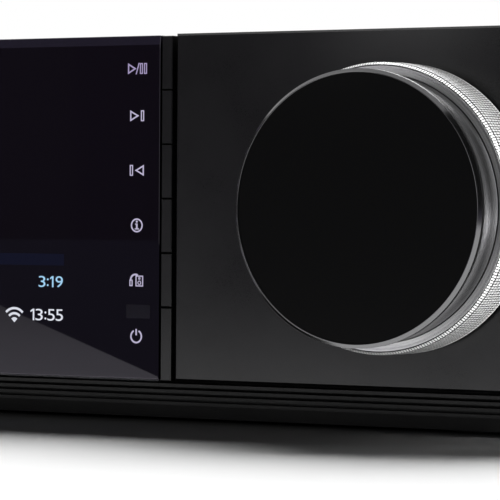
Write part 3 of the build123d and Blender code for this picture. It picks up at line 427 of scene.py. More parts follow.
def thicken(thickness):
    """Gives flat shapes that face the front a thickness towards the front."""
    piece = bpy.context.object
    solidify = piece.modifiers.new("Thickness", "SOLIDIFY")
    solidify.thickness = thickness
    solidify.offset = 1
    bpy.ops.object.modifier_apply(modifier=solidify.name)


def round_edges(width, segments, angle=40):
    """Rounds the sharp edges of the piece."""
    piece = bpy.context.object
    bevel = piece.modifiers.new("Rounding", "BEVEL")
    bevel.width = width
    bevel.segments = segments
    bevel.limit_method = "ANGLE"
    bevel.angle_limit = math.radians(angle)
    bpy.ops.object.modifier_apply(modifier=bevel.name)


def complete(name, body, look, stands_for=(), smooth=30):
    """Names the piece, gives it its finish and hangs it on its body."""
    if bpy.context.object.mode != "OBJECT":
        mode("OBJECT")
    piece = bpy.context.object
    settle()
    if smooth:
        bpy.ops.object.shade_smooth_by_angle(angle=math.radians(smooth))
    piece.name = name
    piece.data.name = name
    piece.data.materials.clear()
    piece.data.materials.append(finish(look))
    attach(piece, body)
    if stands_for:
        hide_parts(*stands_for)
    return piece


def second_finish(item, look, test):
    """Gives the faces that pass the test a finish of their own."""
    activate(item)
    bpy.ops.object.material_slot_add()
    item.active_material_index = len(item.material_slots) - 1
    item.material_slots[item.active_material_index].material = finish(look)
    mode("EDIT")
    pick("FACE", test)
    bpy.ops.object.material_slot_assign()
    mode("OBJECT")


def lay(name, pieces, look):
    """Joins flat shapes on the glass into one piece of the case with a little thickness."""
    join(pieces)
    thicken(front().print_height)
    complete(name, "case", look, (), 0)


# Shader nodes


def feed(tree, socket, value):
    """Links an input to another node's output, or sets it to a plain value."""
    if isinstance(value, bpy.types.NodeSocket):
        tree.links.new(value, socket)
    else:
        socket.default_value = value


def add(tree, kind, **settings):
    """Adds a node; settings that start with in_ feed the input with that number or name."""
    node = tree.nodes.new(kind)
    for key, value in settings.items():
        if key.startswith("in_"):
            place = key[3:]
            feed(tree, node.inputs[int(place) if place.isdigit() else place], value)
        else:
            setattr(node, key, value)
    return node


def reckon(tree, operation, *values, **settings):
    """The result of a calculation with the values."""
    node = add(tree, "ShaderNodeMath", operation=operation, **settings)
    for socket, value in zip(node.inputs, values):
        feed(tree, socket, value)
    return node.outputs[0]


def ramp(tree, value, low, high, start=0.0, end=1.0, **settings):
    """The value, mapped from low and high to start and end and held beyond them."""
    node = add(
        tree, "ShaderNodeMapRange", in_0=value, in_1=low, in_2=high, in_3=start, in_4=end,
        **settings,
    )
    return node.outputs[0]


def noise(tree, vector, scale, detail, rough=0.5):
    """The strength of a noise at each place."""
    node = add(
        tree, "ShaderNodeTexNoise", in_Vector=vector, in_Scale=scale, in_Detail=detail,
        in_Roughness=rough,
    )
    return node.outputs["Fac"]


def blend(tree, share, first, second):
    """A colour between two colours."""
    return add(
        tree, "ShaderNodeMix", data_type="RGBA", in_0=share, in_6=first, in_7=second
    ).outputs[2]


def between(tree, share, first, second):
    """A number between two numbers."""
    return add(tree, "ShaderNodeMix", in_0=share, in_2=first, in_3=second).outputs[0]


# Shared surface effects


def new_group(name, inputs, outputs):
    """A node group with its sockets: a place where the input is None, else a number or a
    colour. Gives the group, what comes in and what goes out."""
    kinds = {type(None): "Vector", float: "Float", tuple: "Color"}
    group = bpy.data.node_groups.new(name, "ShaderNodeTree")
    for socket, value in inputs.items():
        item = group.interface.new_socket(
            socket, in_out="INPUT", socket_type="NodeSocket" + kinds[type(value)]
        )
        if value is not None:
            item.default_value = value
    for socket in outputs:
        kind = "NodeSocketColor" if socket == "Colour" else "NodeSocketFloat"
        group.interface.new_socket(socket, in_out="OUTPUT", socket_type=kind)
    start = group.nodes.new("NodeGroupInput").outputs
    end = group.nodes.new("NodeGroupOutput").inputs
    return group, start, end


def grain_group():
    """Fine grain with slow clouding: colour, roughness and height."""
    group, start, end = new_group(
        "Fine grain",
        {
            "Vector": None, "Scale": 3000.0, "Cloud Scale": 40.0,
            "Dark": (0.01, 0.01, 0.01, 1), "Light": (0.03, 0.03, 0.03, 1),
            "Smooth": 0.4, "Rough": 0.5,
        },
        ("Colour", "Roughness", "Height"),
    )
    grain = noise(group, start["Vector"], start["Scale"], 3.0, 0.6)
    cloud = noise(group, start["Vector"], start["Cloud Scale"], 4.0, 0.55)
    both = reckon(group, "MULTIPLY_ADD", grain, 0.55, reckon(group, "MULTIPLY", cloud, 0.45))
    spread = ramp(group, both, 0.3, 0.7)
    feed(group, end["Colour"], blend(group, spread, start["Dark"], start["Light"]))
    feed(group, end["Roughness"], ramp(group, spread, 0.0, 1.0, start["Smooth"], start["Rough"]))
    feed(group, end["Height"], grain)
    return group


def turning_group():
    """Fine rings round the Y axis, as a lathe leaves them: a mask and a height."""
    group, start, end = new_group(
        "Turning marks",
        {"Vector": None, "Fine Scale": 9000.0, "Coarse Scale": 1400.0},
        ("Mask", "Height"),
    )
    split = add(group, "ShaderNodeSeparateXYZ", in_0=start["Vector"]).outputs
    flat = add(group, "ShaderNodeCombineXYZ", in_X=split["X"], in_Z=split["Z"]).outputs[0]
    away = add(group, "ShaderNodeVectorMath", operation="LENGTH", in_0=flat).outputs["Value"]
    along = reckon(group, "ADD", away, split["Y"])
    fine, coarse = (
        add(
            group, "ShaderNodeTexNoise", noise_dimensions="1D", in_W=along, in_Scale=start[scale],
            in_Detail=2.0,
        ).outputs["Fac"]
        for scale in ("Fine Scale", "Coarse Scale")
    )
    feed(group, end["Mask"], ramp(group, reckon(group, "MULTIPLY", fine, coarse), 0.12, 0.4))
    feed(group, end["Height"], fine)
    return group


def dust_group():
    """Thin dust that settles on faces that look up, broken by noise: a colour and a roughness."""
    group, start, end = new_group(
        "Settled dust",
        {"Vector": None, "Colour": (0.02, 0.02, 0.02, 1), "Roughness": 0.4, "Amount": 0.05},
        ("Colour", "Roughness"),
    )
    facing = add(group, "ShaderNodeNewGeometry").outputs["Normal"]
    split = add(group, "ShaderNodeSeparateXYZ", in_0=facing).outputs
    up = ramp(group, split["Z"], 0.5, 1.0)
    spots = ramp(group, noise(group, start["Vector"], 180.0, 6.0, 0.7), 0.45, 0.75)
    amount = reckon(group, "MULTIPLY", reckon(group, "MULTIPLY", up, spots), start["Amount"])
    dusty = blend(group, amount, start["Colour"], (0.35, 0.34, 0.32, 1))
    feed(group, end["Colour"], dusty)
    feed(group, end["Roughness"], between(group, amount, start["Roughness"], 0.9))
    return group


effects = {}


def effect(tree, name, vector, **values):
    """Places a shared effect in a material; the effect is built when it is first wanted."""
    makers = {"grain": grain_group, "turning": turning_group, "dust": dust_group}
    if name not in effects:
        effects[name] = makers[name]()
    node = add(tree, "ShaderNodeGroup", node_tree=effects[name], in_Vector=vector)
    for key, value in values.items():
        feed(tree, node.inputs[key], value)
    return node.outputs


# Finishes


def start_material(name, metallic, roughness, specular=0.5):
    """A material with its shader and its object coordinates."""
    material = bpy.data.materials.new(name)
    material.use_nodes = True
    tree = material.node_tree
    shader = tree.nodes["Principled BSDF"].inputs
    shader["Metallic"].default_value = metallic
    shader["Roughness"].default_value = roughness
    shader["Specular IOR Level"].default_value = specular
    return material, tree, shader, add(tree, "ShaderNodeTexCoord").outputs["Object"]


def centred(tree, place, centre, scale=(1, 1, 1)):
    """Object coordinates measured from a centre."""
    shift = [-part * size for part, size in zip(centre, scale)]
    return add(
        tree, "ShaderNodeMapping", vector_type="POINT", in_Vector=place, in_Location=shift,
        in_Scale=scale,
    ).outputs["Vector"]


def surface(tree, shader, tint, rough, height, depth):
    """Feeds the shader its colour, its roughness and a height of this depth in metres."""
    feed(tree, shader["Base Color"], tint)
    feed(tree, shader["Roughness"], rough)
    relief = add(tree, "ShaderNodeBump", in_Distance=depth, in_Strength=1.0, in_Height=height)
    feed(tree, shader["Normal"], relief.outputs["Normal"])


def wide(shade, factor=1.0):
    """A colour with its alpha, made lighter or darker."""
    return tuple(min(1.0, part * factor) for part in shade) + (1.0,)


def grained(name, shade, roughness, metallic, grain, depth, contrast, spread, dust=0.0,
            stretch=(1, 1, 1), specular=0.5):
    """A finish with fine grain of a depth in millimetres, clouded roughness and, on top faces,
    a little dust."""
    material, tree, shader, place = start_material(name, metallic, roughness, specular)
    node = effect(
        tree, "grain", centred(tree, place, (0, 0, 0), stretch),
        Scale=grain,
        Dark=wide(shade, 1 - contrast),
        Light=wide(shade, 1 + contrast),
        Smooth=max(0.02, roughness - spread),
        Rough=min(1.0, roughness + spread),
    )
    tint, rough = node["Colour"], node["Roughness"]
    if dust:
        layer = effect(tree, "dust", place, Amount=dust, Colour=tint, Roughness=rough)
        tint, rough = layer["Colour"], layer["Roughness"]
    surface(tree, shader, tint, rough, node["Height"], depth * MM)
    return material


def turned_finish(name, shade, roughness, metallic, depth, contrast, spread, specular=0.5):
    """A finish with fine lathe rings of a depth in millimetres round the knob's middle."""
    material, tree, shader, place = start_material(name, metallic, roughness, specular)
    low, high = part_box("knob_cap")
    node = effect(tree, "turning", centred(tree, place, (low + high) / 2))
    tint = blend(tree, node["Mask"], wide(shade, 1 - contrast), wide(shade, 1 + contrast))
    rough = ramp(tree, node["Mask"], 0.0, 1.0, roughness - spread, roughness + spread)
    surface(tree, shader, tint, rough, node["Height"], depth * MM)
    return material


def lit(name, shade):
    """A sign or a part of the screen's picture, lit from behind and slightly uneven."""
    material, tree, shader, place = start_material(name, 0.0, 0.5, 0.0)
    feed(tree, shader["Base Color"], (0.004, 0.004, 0.005, 1))
    tint = blend(tree, noise(tree, place, 900.0, 2.0), wide(shade, 0.9), wide(shade, 1.05))
    feed(tree, shader["Emission Color"], tint)
    feed(tree, shader["Emission Strength"], 1.0)
    return material


def glass_finish():
    """Gloss black glass: a slightly more neutral area over the screen, and a pale ground foot,
    paler partly from its grinding and partly as a painted highlight along the bottom edge.
    """
    shades = colours()
    material, tree, shader, place = start_material("Black glass", 0.0, 0.015)
    feed(tree, shader["Specular Tint"], (0.82, 0.77, 0.92, 1))
    split = add(tree, "ShaderNodeSeparateXYZ", in_0=place).outputs
    screen_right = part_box("display_module")[1].x
    beyond = ramp(tree, split["X"], screen_right - 0.3 * MM, screen_right + 0.3 * MM)
    tint = blend(tree, beyond, wide(shades.glass_screen), wide(shades.glass))
    bottom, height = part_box("display_glass")[0].z, front().glass_foot
    # The foot gets a paler colour and a duller roughness: partly its grinding, partly a painted
    # highlight along the bottom edge
    foot = ramp(tree, split["Z"], bottom + height * 0.9, bottom + height * 1.1, 1.0, 0.0)
    feed(tree, shader["Base Color"], blend(tree, foot, tint, wide(shades.glass_foot_highlight)))
    gloss = ramp(tree, noise(tree, place, 30.0, 5.0), 0.0, 1.0, 0.006, 0.022)
    feed(tree, shader["Roughness"], between(tree, foot, gloss, 0.35))
    return material


def board_finish():
    """Green board with faint copper tracks under the mask."""
    material, tree, shader, place = start_material("Circuit board", 0.0, 0.35)
    cells = add(
        tree, "ShaderNodeTexVoronoi", distance="MANHATTAN", feature="DISTANCE_TO_EDGE",
        in_Vector=place, in_Scale=260.0,
    )
    track = ramp(tree, cells.outputs["Distance"], 0.03, 0.06)
    tint = blend(tree, track, (0.03, 0.14, 0.07, 1), (0.012, 0.06, 0.03, 1))
    surface(tree, shader, tint, 0.35, track, 0.02 * MM)
    return material


def finish_table():
    """Every finish: its maker and what the maker is given, in the maker's own order."""
    shades = colours()

    def even(value):
        return (value, value, value)

    # Name, colour, roughness, metal, grain, depth, contrast, spread, dust, stretch, specular
    table = {
        "plate": ("Satin anodised plate", shades.plate, 0.30, 1.0, 5200, 0.006, 0.16, 0.05, 0.02),
        "plastic": ("Textured black plastic", shades.plastic, 0.5, 0.0, 2600, 0.03, 0.2, 0.08,
                    0.03, even(1), 0.25),
        "paint": ("Fine textured black paint", shades.paint, 0.45, 0.0, 3800, 0.03, 0.2, 0.06,
                  0.04, even(1), 0.3),
        "anodised": ("Black anodised side", (0.03, 0.03, 0.032), 0.4, 1.0, 900, 0.006, 0.25,
                     0.08, 0.02, (1, 0.05, 1)),
        "aluminium": ("Milled aluminium", (0.6, 0.6, 0.61), 0.35, 1.0, 1500, 0.006, 0.08, 0.1,
                      0.0, (1, 0.06, 1)),
        "steel": ("Plain steel", (0.52, 0.52, 0.53), 0.3, 1.0, 1800, 0.003, 0.1, 0.08, 0.0,
                  (1, 0.2, 1)),
        "nickel": ("Nickel plate", (0.68, 0.65, 0.6), 0.22, 1.0, 2400, 0.002, 0.06, 0.06),
        "dark_steel": ("Blackened steel", (0.06, 0.06, 0.062), 0.36, 1.0, 2600, 0.006, 0.25, 0.1),
        "gold": ("Gold plate", shades.gold, 0.22, 1.0, 2200, 0.002, 0.05, 0.06),
        "brass": ("Plain brass", (0.66, 0.5, 0.22), 0.34, 1.0, 1800, 0.004, 0.12, 0.1),
        "rubber": ("Black rubber", even(0.024), 0.78, 0.0, 1900, 0.05, 0.2, 0.08, 0.05),
        "screen": ("Dark screen", (0.006, 0.006, 0.011), 0.2, 0.0, 6000, 0.001, 0.3, 0.05),
        "clear": ("Clear light guide", (0.75, 0.75, 0.8), 0.15, 0.0, 1500, 0.004, 0.05, 0.05),
        "smoked": ("Smoked lens", (0.02, 0.007, 0.02), 0.12, 0.0, 1500, 0.004, 0.2, 0.05),
        "gloss": ("Gloss black plastic", even(0.013), 0.13, 0.0, 900, 0.004, 0.2, 0.05, 0.02),
        "cap_black": ("Black cap", even(0.018), 0.3, 0.0, 2400, 0.01, 0.2, 0.08, 0.02),
        "cap_red": ("Red cap", shades.red, 0.3, 0.0, 2400, 0.01, 0.12, 0.08, 0.02),
        "chip": ("Moulded package", (0.02, 0.02, 0.021), 0.55, 0.0, 3600, 0.02, 0.25, 0.08),
        "white_print": ("White print", even(0.62), 0.5, 0.0, 3000, 0.004, 0.08, 0.08),
        "red_ring": ("Red ring", shades.red, 0.35, 0.0, 2400, 0.006, 0.1, 0.06),
        "white_ring": ("White ring", (0.6, 0.6, 0.59), 0.35, 0.0, 2400, 0.006, 0.06, 0.06),
        "lamp_green": ("Green lamp lens", (0.02, 0.16, 0.03), 0.2, 0.0, 1600, 0.004, 0.2, 0.05),
        "lamp_amber": ("Amber lamp lens", (0.3, 0.12, 0.01), 0.2, 0.0, 1600, 0.004, 0.2, 0.05),
        "window": ("Receiver window", (0.022, 0.020, 0.032), 0.1, 0.0, 2000, 0.001, 0.2, 0.04),
    }
    table = {look: (grained, *values) for look, values in table.items()}
    # Name, colour, roughness, metal, depth, contrast, spread, specular
    for look, *values in (
        ("ring", "Bright aluminium", shades.ring, 0.32, 1.0, 0.003, 0.05, 0.06),
        # Knurl: the ring's aluminium made pale and mostly dull, painted sheen for the knurl's
        # glints
        ("knurl", "Bright aluminium knurl", shades.knurl, 0.34, 0.2, 0.003, 0.04, 0.02),
        # Near-black finish for the faces between the knurl points: painted shade in the grooves
        ("knurl_groove", "Knurl groove", (0.04, 0.04, 0.041), 0.5, 0.2, 0.003, 0.04, 0.02),
        ("knob", "Dark polished aluminium", shades.knob, 0.3, 1.0, 0.001, 0.1, 0.04),
        ("knob_edge", "Bright cut edge", (0.12, 0.12, 0.123), 0.16, 1.0, 0.001, 0.08, 0.03),
        ("disc", "Satin black disc", shades.disc, 0.36, 0.0, 0.002, 0.07, 0.02, 0.06),
    ):
        table[look] = (turned_finish, *values)
    for look, *values in (
        ("sign", "Sign light", shades.sign),
        ("sign_dim", "Weaker sign light", shades.sign_dim),
        ("time_now", "Elapsed time light", shades.time_now),
        ("screen_white", "Clock light", shades.screen_white),
        ("screen_bar", "Progress light", shades.screen_bar),
        ("screen_grey", "Placeholder light", (0.03, 0.035, 0.05)),
    ):
        table[look] = (lit, *values)
    table["board"] = (board_finish,)
    table["glass"] = (glass_finish,)
    return table


finishes = {}


def finish(name):
    """The finish with this name, built when it is first wanted."""
    if name not in finishes:
        maker, *values = finish_table()[name]
        finishes[name] = maker(*values)
    return finishes[name]


# Operators


class STREAMER_OT_finishes(bpy.types.Operator):
    """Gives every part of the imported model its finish"""

    bl_idname = "streamer.finishes"
    bl_label = "Case finishes"

    def execute(self, context):
        table = {
            "plastic": "ribbed_plinth foot_bars front_frame knob_backing socket_plate "
            "headphone_socket mains_inlet switch_frame terminal_plate rca_housings "
            "optical_socket optical_shutter",
            "rubber": "rubber_feet",
            "paint": "base_tray rear_panel top_cover",
            "anodised": "side_panel_left side_panel_right heatsink",
            "aluminium": "side_frame_left side_frame_right",
            "nickel": "panel_magnets encoder_nut inlet_pins",
            "dark_steel": "case_screws tact_switches",
            "steel": "selector_shaft volume_shaft knob_encoder ethernet_socket usb_socket "
            "hdmi_socket",
            "gold": "terminal_studs rca_barrels",
            "brass": "board_standoffs",
            "board": "front_boards main_board power_supply_board amplifier_board",
            "chip": "main_board_chips supply_parts",
            "screen": "display_module",
            "clear": "icon_light_guide",
            "smoked": "ir_receiver",
            "gloss": "power_rocker display_glass",
            "plate": "knob_fascia button_play_pause button_next button_previous button_info "
            "button_output button_power",
            "ring": "selector_ring",
            "knob": "volume_knob",
            "disc": "knob_cap",
            "cap_black": "terminal_cap_right_minus terminal_cap_left_minus",
            "cap_red": "terminal_cap_right_plus terminal_cap_left_plus",
        }
        given = {node: look for look, nodes in table.items() for node in nodes.split()}
        missing = set(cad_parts) - set(given)
        if missing:
            raise RuntimeError(f"no finish for {sorted(missing)}")
        for node, look in given.items():
            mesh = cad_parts[node].data
            mesh.materials.clear()
            mesh.materials.append(finish(look))
        return {"FINISHED"}


class STREAMER_OT_glass(bpy.types.Operator):
    """Glass panel with a sloped band along its top and a ground foot"""

    bl_idname = "streamer.glass"
    bl_label = "Glass panel"

    def execute(self, context):
        sizes = front()
        low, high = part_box("display_glass")

        def lean(edge, depth):
            """Moves the front edge at this height back by the depth."""
            pick(
                "VERT",
                lambda mesh, vertex: vertex.co.y < low.y + CLOSE
                and abs(vertex.co.z - edge) < CLOSE,
            )
            bpy.ops.transform.translate(value=(0, depth, 0))

        block(low, high)
        for height in (high.z - sizes.glass_top_slope, low.z + sizes.glass_foot):
            select_all()
            bpy.ops.mesh.bisect(plane_co=(0, 0, height), plane_no=(0, 0, 1))
        lean(high.z, sizes.glass_slope_depth)
        lean(low.z, sizes.glass_foot * 0.3)
        mode("OBJECT")
        round_edges(0.16 * MM, 2, 60)
        complete("glass_panel", "case", "glass", ("display_glass",), 6)
        return {"FINISHED"}


class STREAMER_OT_screen(bpy.types.Operator):
    """Picture on the screen: two times, a progress bar and plain placeholders"""

    bl_idname = "streamer.screen"
    bl_label = "Screen picture"

    def execute(self, context):
        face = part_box("display_glass")[0].y
        elapsed = figures(
            [("3", 4.2, 1.9), (":", 6.4, 0.7), ("1", 7.4, 0.97), ("9", 8.94, 2.03)],
            2.6 * MM, 30.7 * MM, face,
        )
        lay("screen_elapsed", elapsed, "time_now")
        clock = figures(
            [
                ("1", 1.95, 1.08), ("3", 3.36, 2.06), (":", 5.75, 0.8), ("5", 6.73, 2.02),
                ("5", 9.03, 2.02),
            ],
            2.7 * MM, 22.9 * MM, face,
        )
        centre = (-2.6 * MM, 22.3 * MM)
        for radius in (3.6, 2.4):
            clock.append(band(centre, radius * MM, 0.55 * MM, 45, 135, 12, face))
        clock.append(patch([centre] + arc_points(centre, 1.2 * MM, 45, 135, 6), face))
        lay("screen_clock", clock, "screen_white")
        progress = bar((-96.0 * MM, 35.8 * MM), (11.25 * MM, 38.5 * MM), face)
        lay("screen_progress", [progress], "screen_bar")
        shapes = []
        for left, right, low in ((-96, -42, 68), (-96, -58, 60), (-96, -70, 53)):
            shapes.append(bar((left * MM, low * MM), (right * MM, (low + 3.2) * MM), face))
        left, low, side, line = -143.0 * MM, 30.0 * MM, 42.0 * MM, 0.5 * MM
        corners = [(left, low), (left + side, low), (left + side, low + side), (left, low + side)]
        shapes.append(outline(corners, line, face))
        middle = (left + side / 2, low + side / 2)
        for radius in (13.0, 4.0):
            shapes.append(outline(circle_points(middle, radius * MM), line, face))
        lay("screen_placeholders", shapes, "screen_grey")
        return {"FINISHED"}


class STREAMER_OT_signs(bpy.types.Operator):
    """Six lit signs beside the buttons, and the receiver's window"""

    bl_idname = "streamer.signs"
    bl_label = "Signs"

    def execute(self, context):
        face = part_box("display_glass")[0].y
        stroke = front().stroke
        middle = 31.2 * MM

        def at(x, z):
            """A place in millimetres from the middle of the signs' column."""
            return (middle + x * MM, z * MM)

        def triangle(x, z, width, way):
            half = 1.28
            tip, back = (x + width, x) if way > 0 else (x, x + width)
            return outline([at(back, z - half), at(tip, z), at(back, z + half)], stroke, face)

        def hollow(x0, z0, x1, z1):
            return outline([at(x0, z0), at(x1, z0), at(x1, z1), at(x0, z1)], stroke * 0.8, face)

        def full(x0, z0, x1, z1):
            return bar(at(x0, z0), at(x1, z1), face)

        def show(name, pieces, look="sign"):
            lay(name, pieces, look)

        z = 81.2
        slash = [at(-0.55, z - 1.3), at(-0.25, z - 1.3), at(0.55, z + 1.3), at(0.25, z + 1.3)]
        play = [triangle(-2.62, z, 2.3, 1), patch(slash, face)]
        play += [hollow(0.62, z - 1.25, 1.42, z + 1.25), hollow(1.72, z - 1.25, 2.52, z + 1.25)]
        show("sign_play_pause", play, "sign_dim")
        z = 70.4
        show("sign_next", [triangle(-1.95, z, 2.45, 1), hollow(0.95, z - 1.25, 1.82, z + 1.25)])
        z = 57.9
        back = [triangle(-0.62, z, 2.45, -1), hollow(-1.98, z - 1.25, -1.11, z + 1.25)]
        show("sign_previous", back)
        z = 45.3
        info = [outline(circle_points(at(0, z), 1.6 * MM), stroke, face)]
        info += [full(-0.2, z - 0.75, 0.22, z + 0.4), full(-0.55, z - 0.95, 0.6, z - 0.68)]
        info += [full(-0.45, z + 0.15, 0.22, z + 0.42)]
        info += [patch(circle_points(at(0, z + 0.85), 0.27 * MM, 12), face)]
        show("sign_info", info)
        z = 32.8
        cups = [band(at(-0.3, z - 0.05), 1.5 * MM, 0.42 * MM, 60, 180, 16, face)]
        cups += [hollow(-1.9, z - 1.45, -1.05, z + 0.05), hollow(-0.25, z - 1.5, 1.8, z + 1.0)]
        for rise, radius in ((0.35, 0.3), (-0.65, 0.5)):
            points = circle_points(at(0.78, z + rise), radius * MM, 16)
            cups.append(outline(points, 0.2 * MM, face))
        show("sign_output", cups)
        z = 20.0
        power = [band(at(0, z - 0.15), 1.6 * MM, stroke * 1.15, 118, 422, 40, face)]
        show("sign_power", power + [full(-0.2, z + 0.1, 0.2, z + 1.55)])
        lay("receiver_window", [full(-2.7, 24.0, 3.7, 27.1)], "window")
        return {"FINISHED"}


class STREAMER_OT_ring(bpy.types.Operator):
    """Outer ring: a knurled band behind a sloped nose, with a plain edge at its back"""

    bl_idname = "streamer.ring"
    bl_label = "Outer ring"

    def execute(self, context):
        sizes = front()
        low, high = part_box("selector_ring")
        tube_low, tube_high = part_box("selector_shaft")
        centre = middle_line(low, high)
        radius = (high.x - low.x) / 2 + sizes.knurl_stand
        root = radius - sizes.knurl_height
        inner = max(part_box("volume_knob")[1].x - centre[0] - 0.78 * MM, 29.05 * MM)
        # No knurl lies inside this radius or in front of this depth
        plain_radius, plain_front = 30 * MM, low.y + 0.02 * MM
        chamfer, bevel = 0.35 * MM, 0.08 * MM
        nose_front, nose_root = low.y + 0.14 * MM, root - 0.62 * MM
        start, end = low.y + 1.0 * MM, high.y - chamfer - 0.3 * MM

        # The nose and the rows of faces behind it, each face then drawn out to a blunt point
        clear_selection()
        bpy.ops.mesh.primitive_circle_add(
            vertices=sizes.knurl_columns,
            radius=nose_root,
            fill_type="NOTHING",
            location=(centre[0], nose_front, centre[1]),
            rotation=(math.pi / 2, 0, 0),
        )
        settle()
        mode("EDIT")
        select_all()
        extrude((0, start - nose_front, 0))
        widen(root / nose_root, centre, start)
        step = (end - start) / sizes.knurl_rows
        for _ in range(sizes.knurl_rows):
            extrude((0, step, 0))
        select_all()
        bpy.ops.mesh.normals_make_consistent(inside=False)
        bpy.ops.mesh.select_mode(type="FACE")
        select_all()
        bpy.ops.mesh.inset(use_individual=True, thickness=0.10 * MM, depth=sizes.knurl_height)

        # From the nose's front edge round the plain sides and back to the last row
        def on_front_edge(mesh, edge):
            ends = [mesh.vertices[index].co for index in edge.vertices]
            return all(
                abs(co.y - nose_front) < 1e-6 and abs(reach(co, centre) - nose_root) < CLOSE
                for co in ends
            )

        pick("EDGE", on_front_edge)
        web = high.y - RING_WEB
        hole = (tube_high.x - tube_low.x) / 2 + 0.01 * MM
        profile = [(nose_root, low.y), (inner + bevel, low.y), (inner, low.y + bevel)]
        profile += [(inner, web), (hole, web), (hole, high.y), (radius - chamfer, high.y)]
        profile += [(radius, high.y - chamfer), (radius, end + 0.06 * MM), (root, end)]
        here = (nose_root, nose_front)
        for there in profile:
            extrude((0, there[1] - here[1], 0))
            widen(there[0] / here[0], centre, there[1])
            here = there
        tidy_surface()
        ring = complete(
            "knurled_ring", "selector", "knurl", ("selector_ring",), 22
        )

        def plain(mesh, face):
            return face.center.y < plain_front or reach(face.center, centre) < plain_radius

        # Faces on the knurl's sides, between its points, take the dark groove finish: painted shade
        def in_shaded_groove(mesh, face):
            middle, normal = face.center, face.normal
            if plain(mesh, face) or middle.y >= end + 1e-6:
                return False
            out = Vector((middle.x - centre[0], 0, middle.z - centre[1])).normalized()
            aside = abs(normal.x * out.z - normal.z * out.x)
            return aside > 0.2 or not -0.75 < normal.y < 0.15

        second_finish(ring, "ring", plain)
        second_finish(ring, "knurl_groove", in_shaded_groove)
        return {"FINISHED"}


class STREAMER_OT_knob(bpy.types.Operator):
    """Inner knob: a turned rim over a hollow neck, with a recess for its black disc"""

    bl_idname = "streamer.knob"
    bl_label = "Inner knob"

    def execute(self, context):
        low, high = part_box("volume_knob")
        cap_low, cap_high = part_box("knob_cap")
        ring_low, ring_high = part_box("selector_ring")
        shaft_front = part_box("volume_shaft")[0].y
        steps = front().turning_steps
        centre = middle_line(low, high)
        rim = (high.x - low.x) / 2
        disc = (cap_high.x - cap_low.x) / 2
        chamfer, ease = 0.72 * MM, 0.05 * MM
        recess = disc + ease
        rim_back = low.y + chamfer + 1.0 * MM
        foot = ring_low.y - 0.3 * MM
        neck, foot_radius, skirt = 28.1 * MM, 28.95 * MM, 28.85 * MM
        skirt_back = ring_high.y - RING_WEB - 0.6 * MM
        wall_back, hollow, hub, bore = low.y + 5.3 * MM, 25.5 * MM, 10 * MM, 3 * MM

        points = [(0, cap_high.y), (recess, cap_high.y), (recess, low.y + 0.06 * MM)]
        points += [(recess + ease, low.y), (rim - chamfer - 0.04 * MM, low.y)]
        points += [(rim - chamfer + 0.03 * MM, low.y + 0.02 * MM)]
        points += [(rim - ease, low.y + chamfer - ease), (rim, low.y + chamfer), (rim, rim_back)]
        for step in range(1, 13):
            share = step / 12
            sweep = 4 * share * (1 - share)
            straight = rim + (foot_radius - rim) * share
            y = rim_back + (foot - rim_back) * share
            points.append((straight - ((rim + foot_radius) / 2 - neck) * sweep, y))
        points += [(skirt, foot), (skirt, skirt_back), (hollow, skirt_back)]
        points += [(hollow, wall_back), (hub, wall_back), (hub, high.y), (bore, high.y)]
        points += [(bore, shaft_front), (0, shaft_front)]
        turned(points, centre, steps)
        knob = complete(
            "turned_knob", "volume", "knob", ("volume_knob",), 25
        )
        second_finish(
            knob, "knob_edge",
            lambda mesh, face: face.center.y < low.y + chamfer
            and reach(face.center, centre) > 29.0 * MM,
        )
        points = [(0, cap_high.y), (disc, cap_high.y), (disc, cap_low.y + 0.08 * MM)]
        points += [(disc - 0.08 * MM, cap_low.y), (0, cap_low.y)]
        turned(points, centre, steps)
        complete("knob_disc", "volume", "disc", ("knob_cap",), 25)
        return {"FINISHED"}


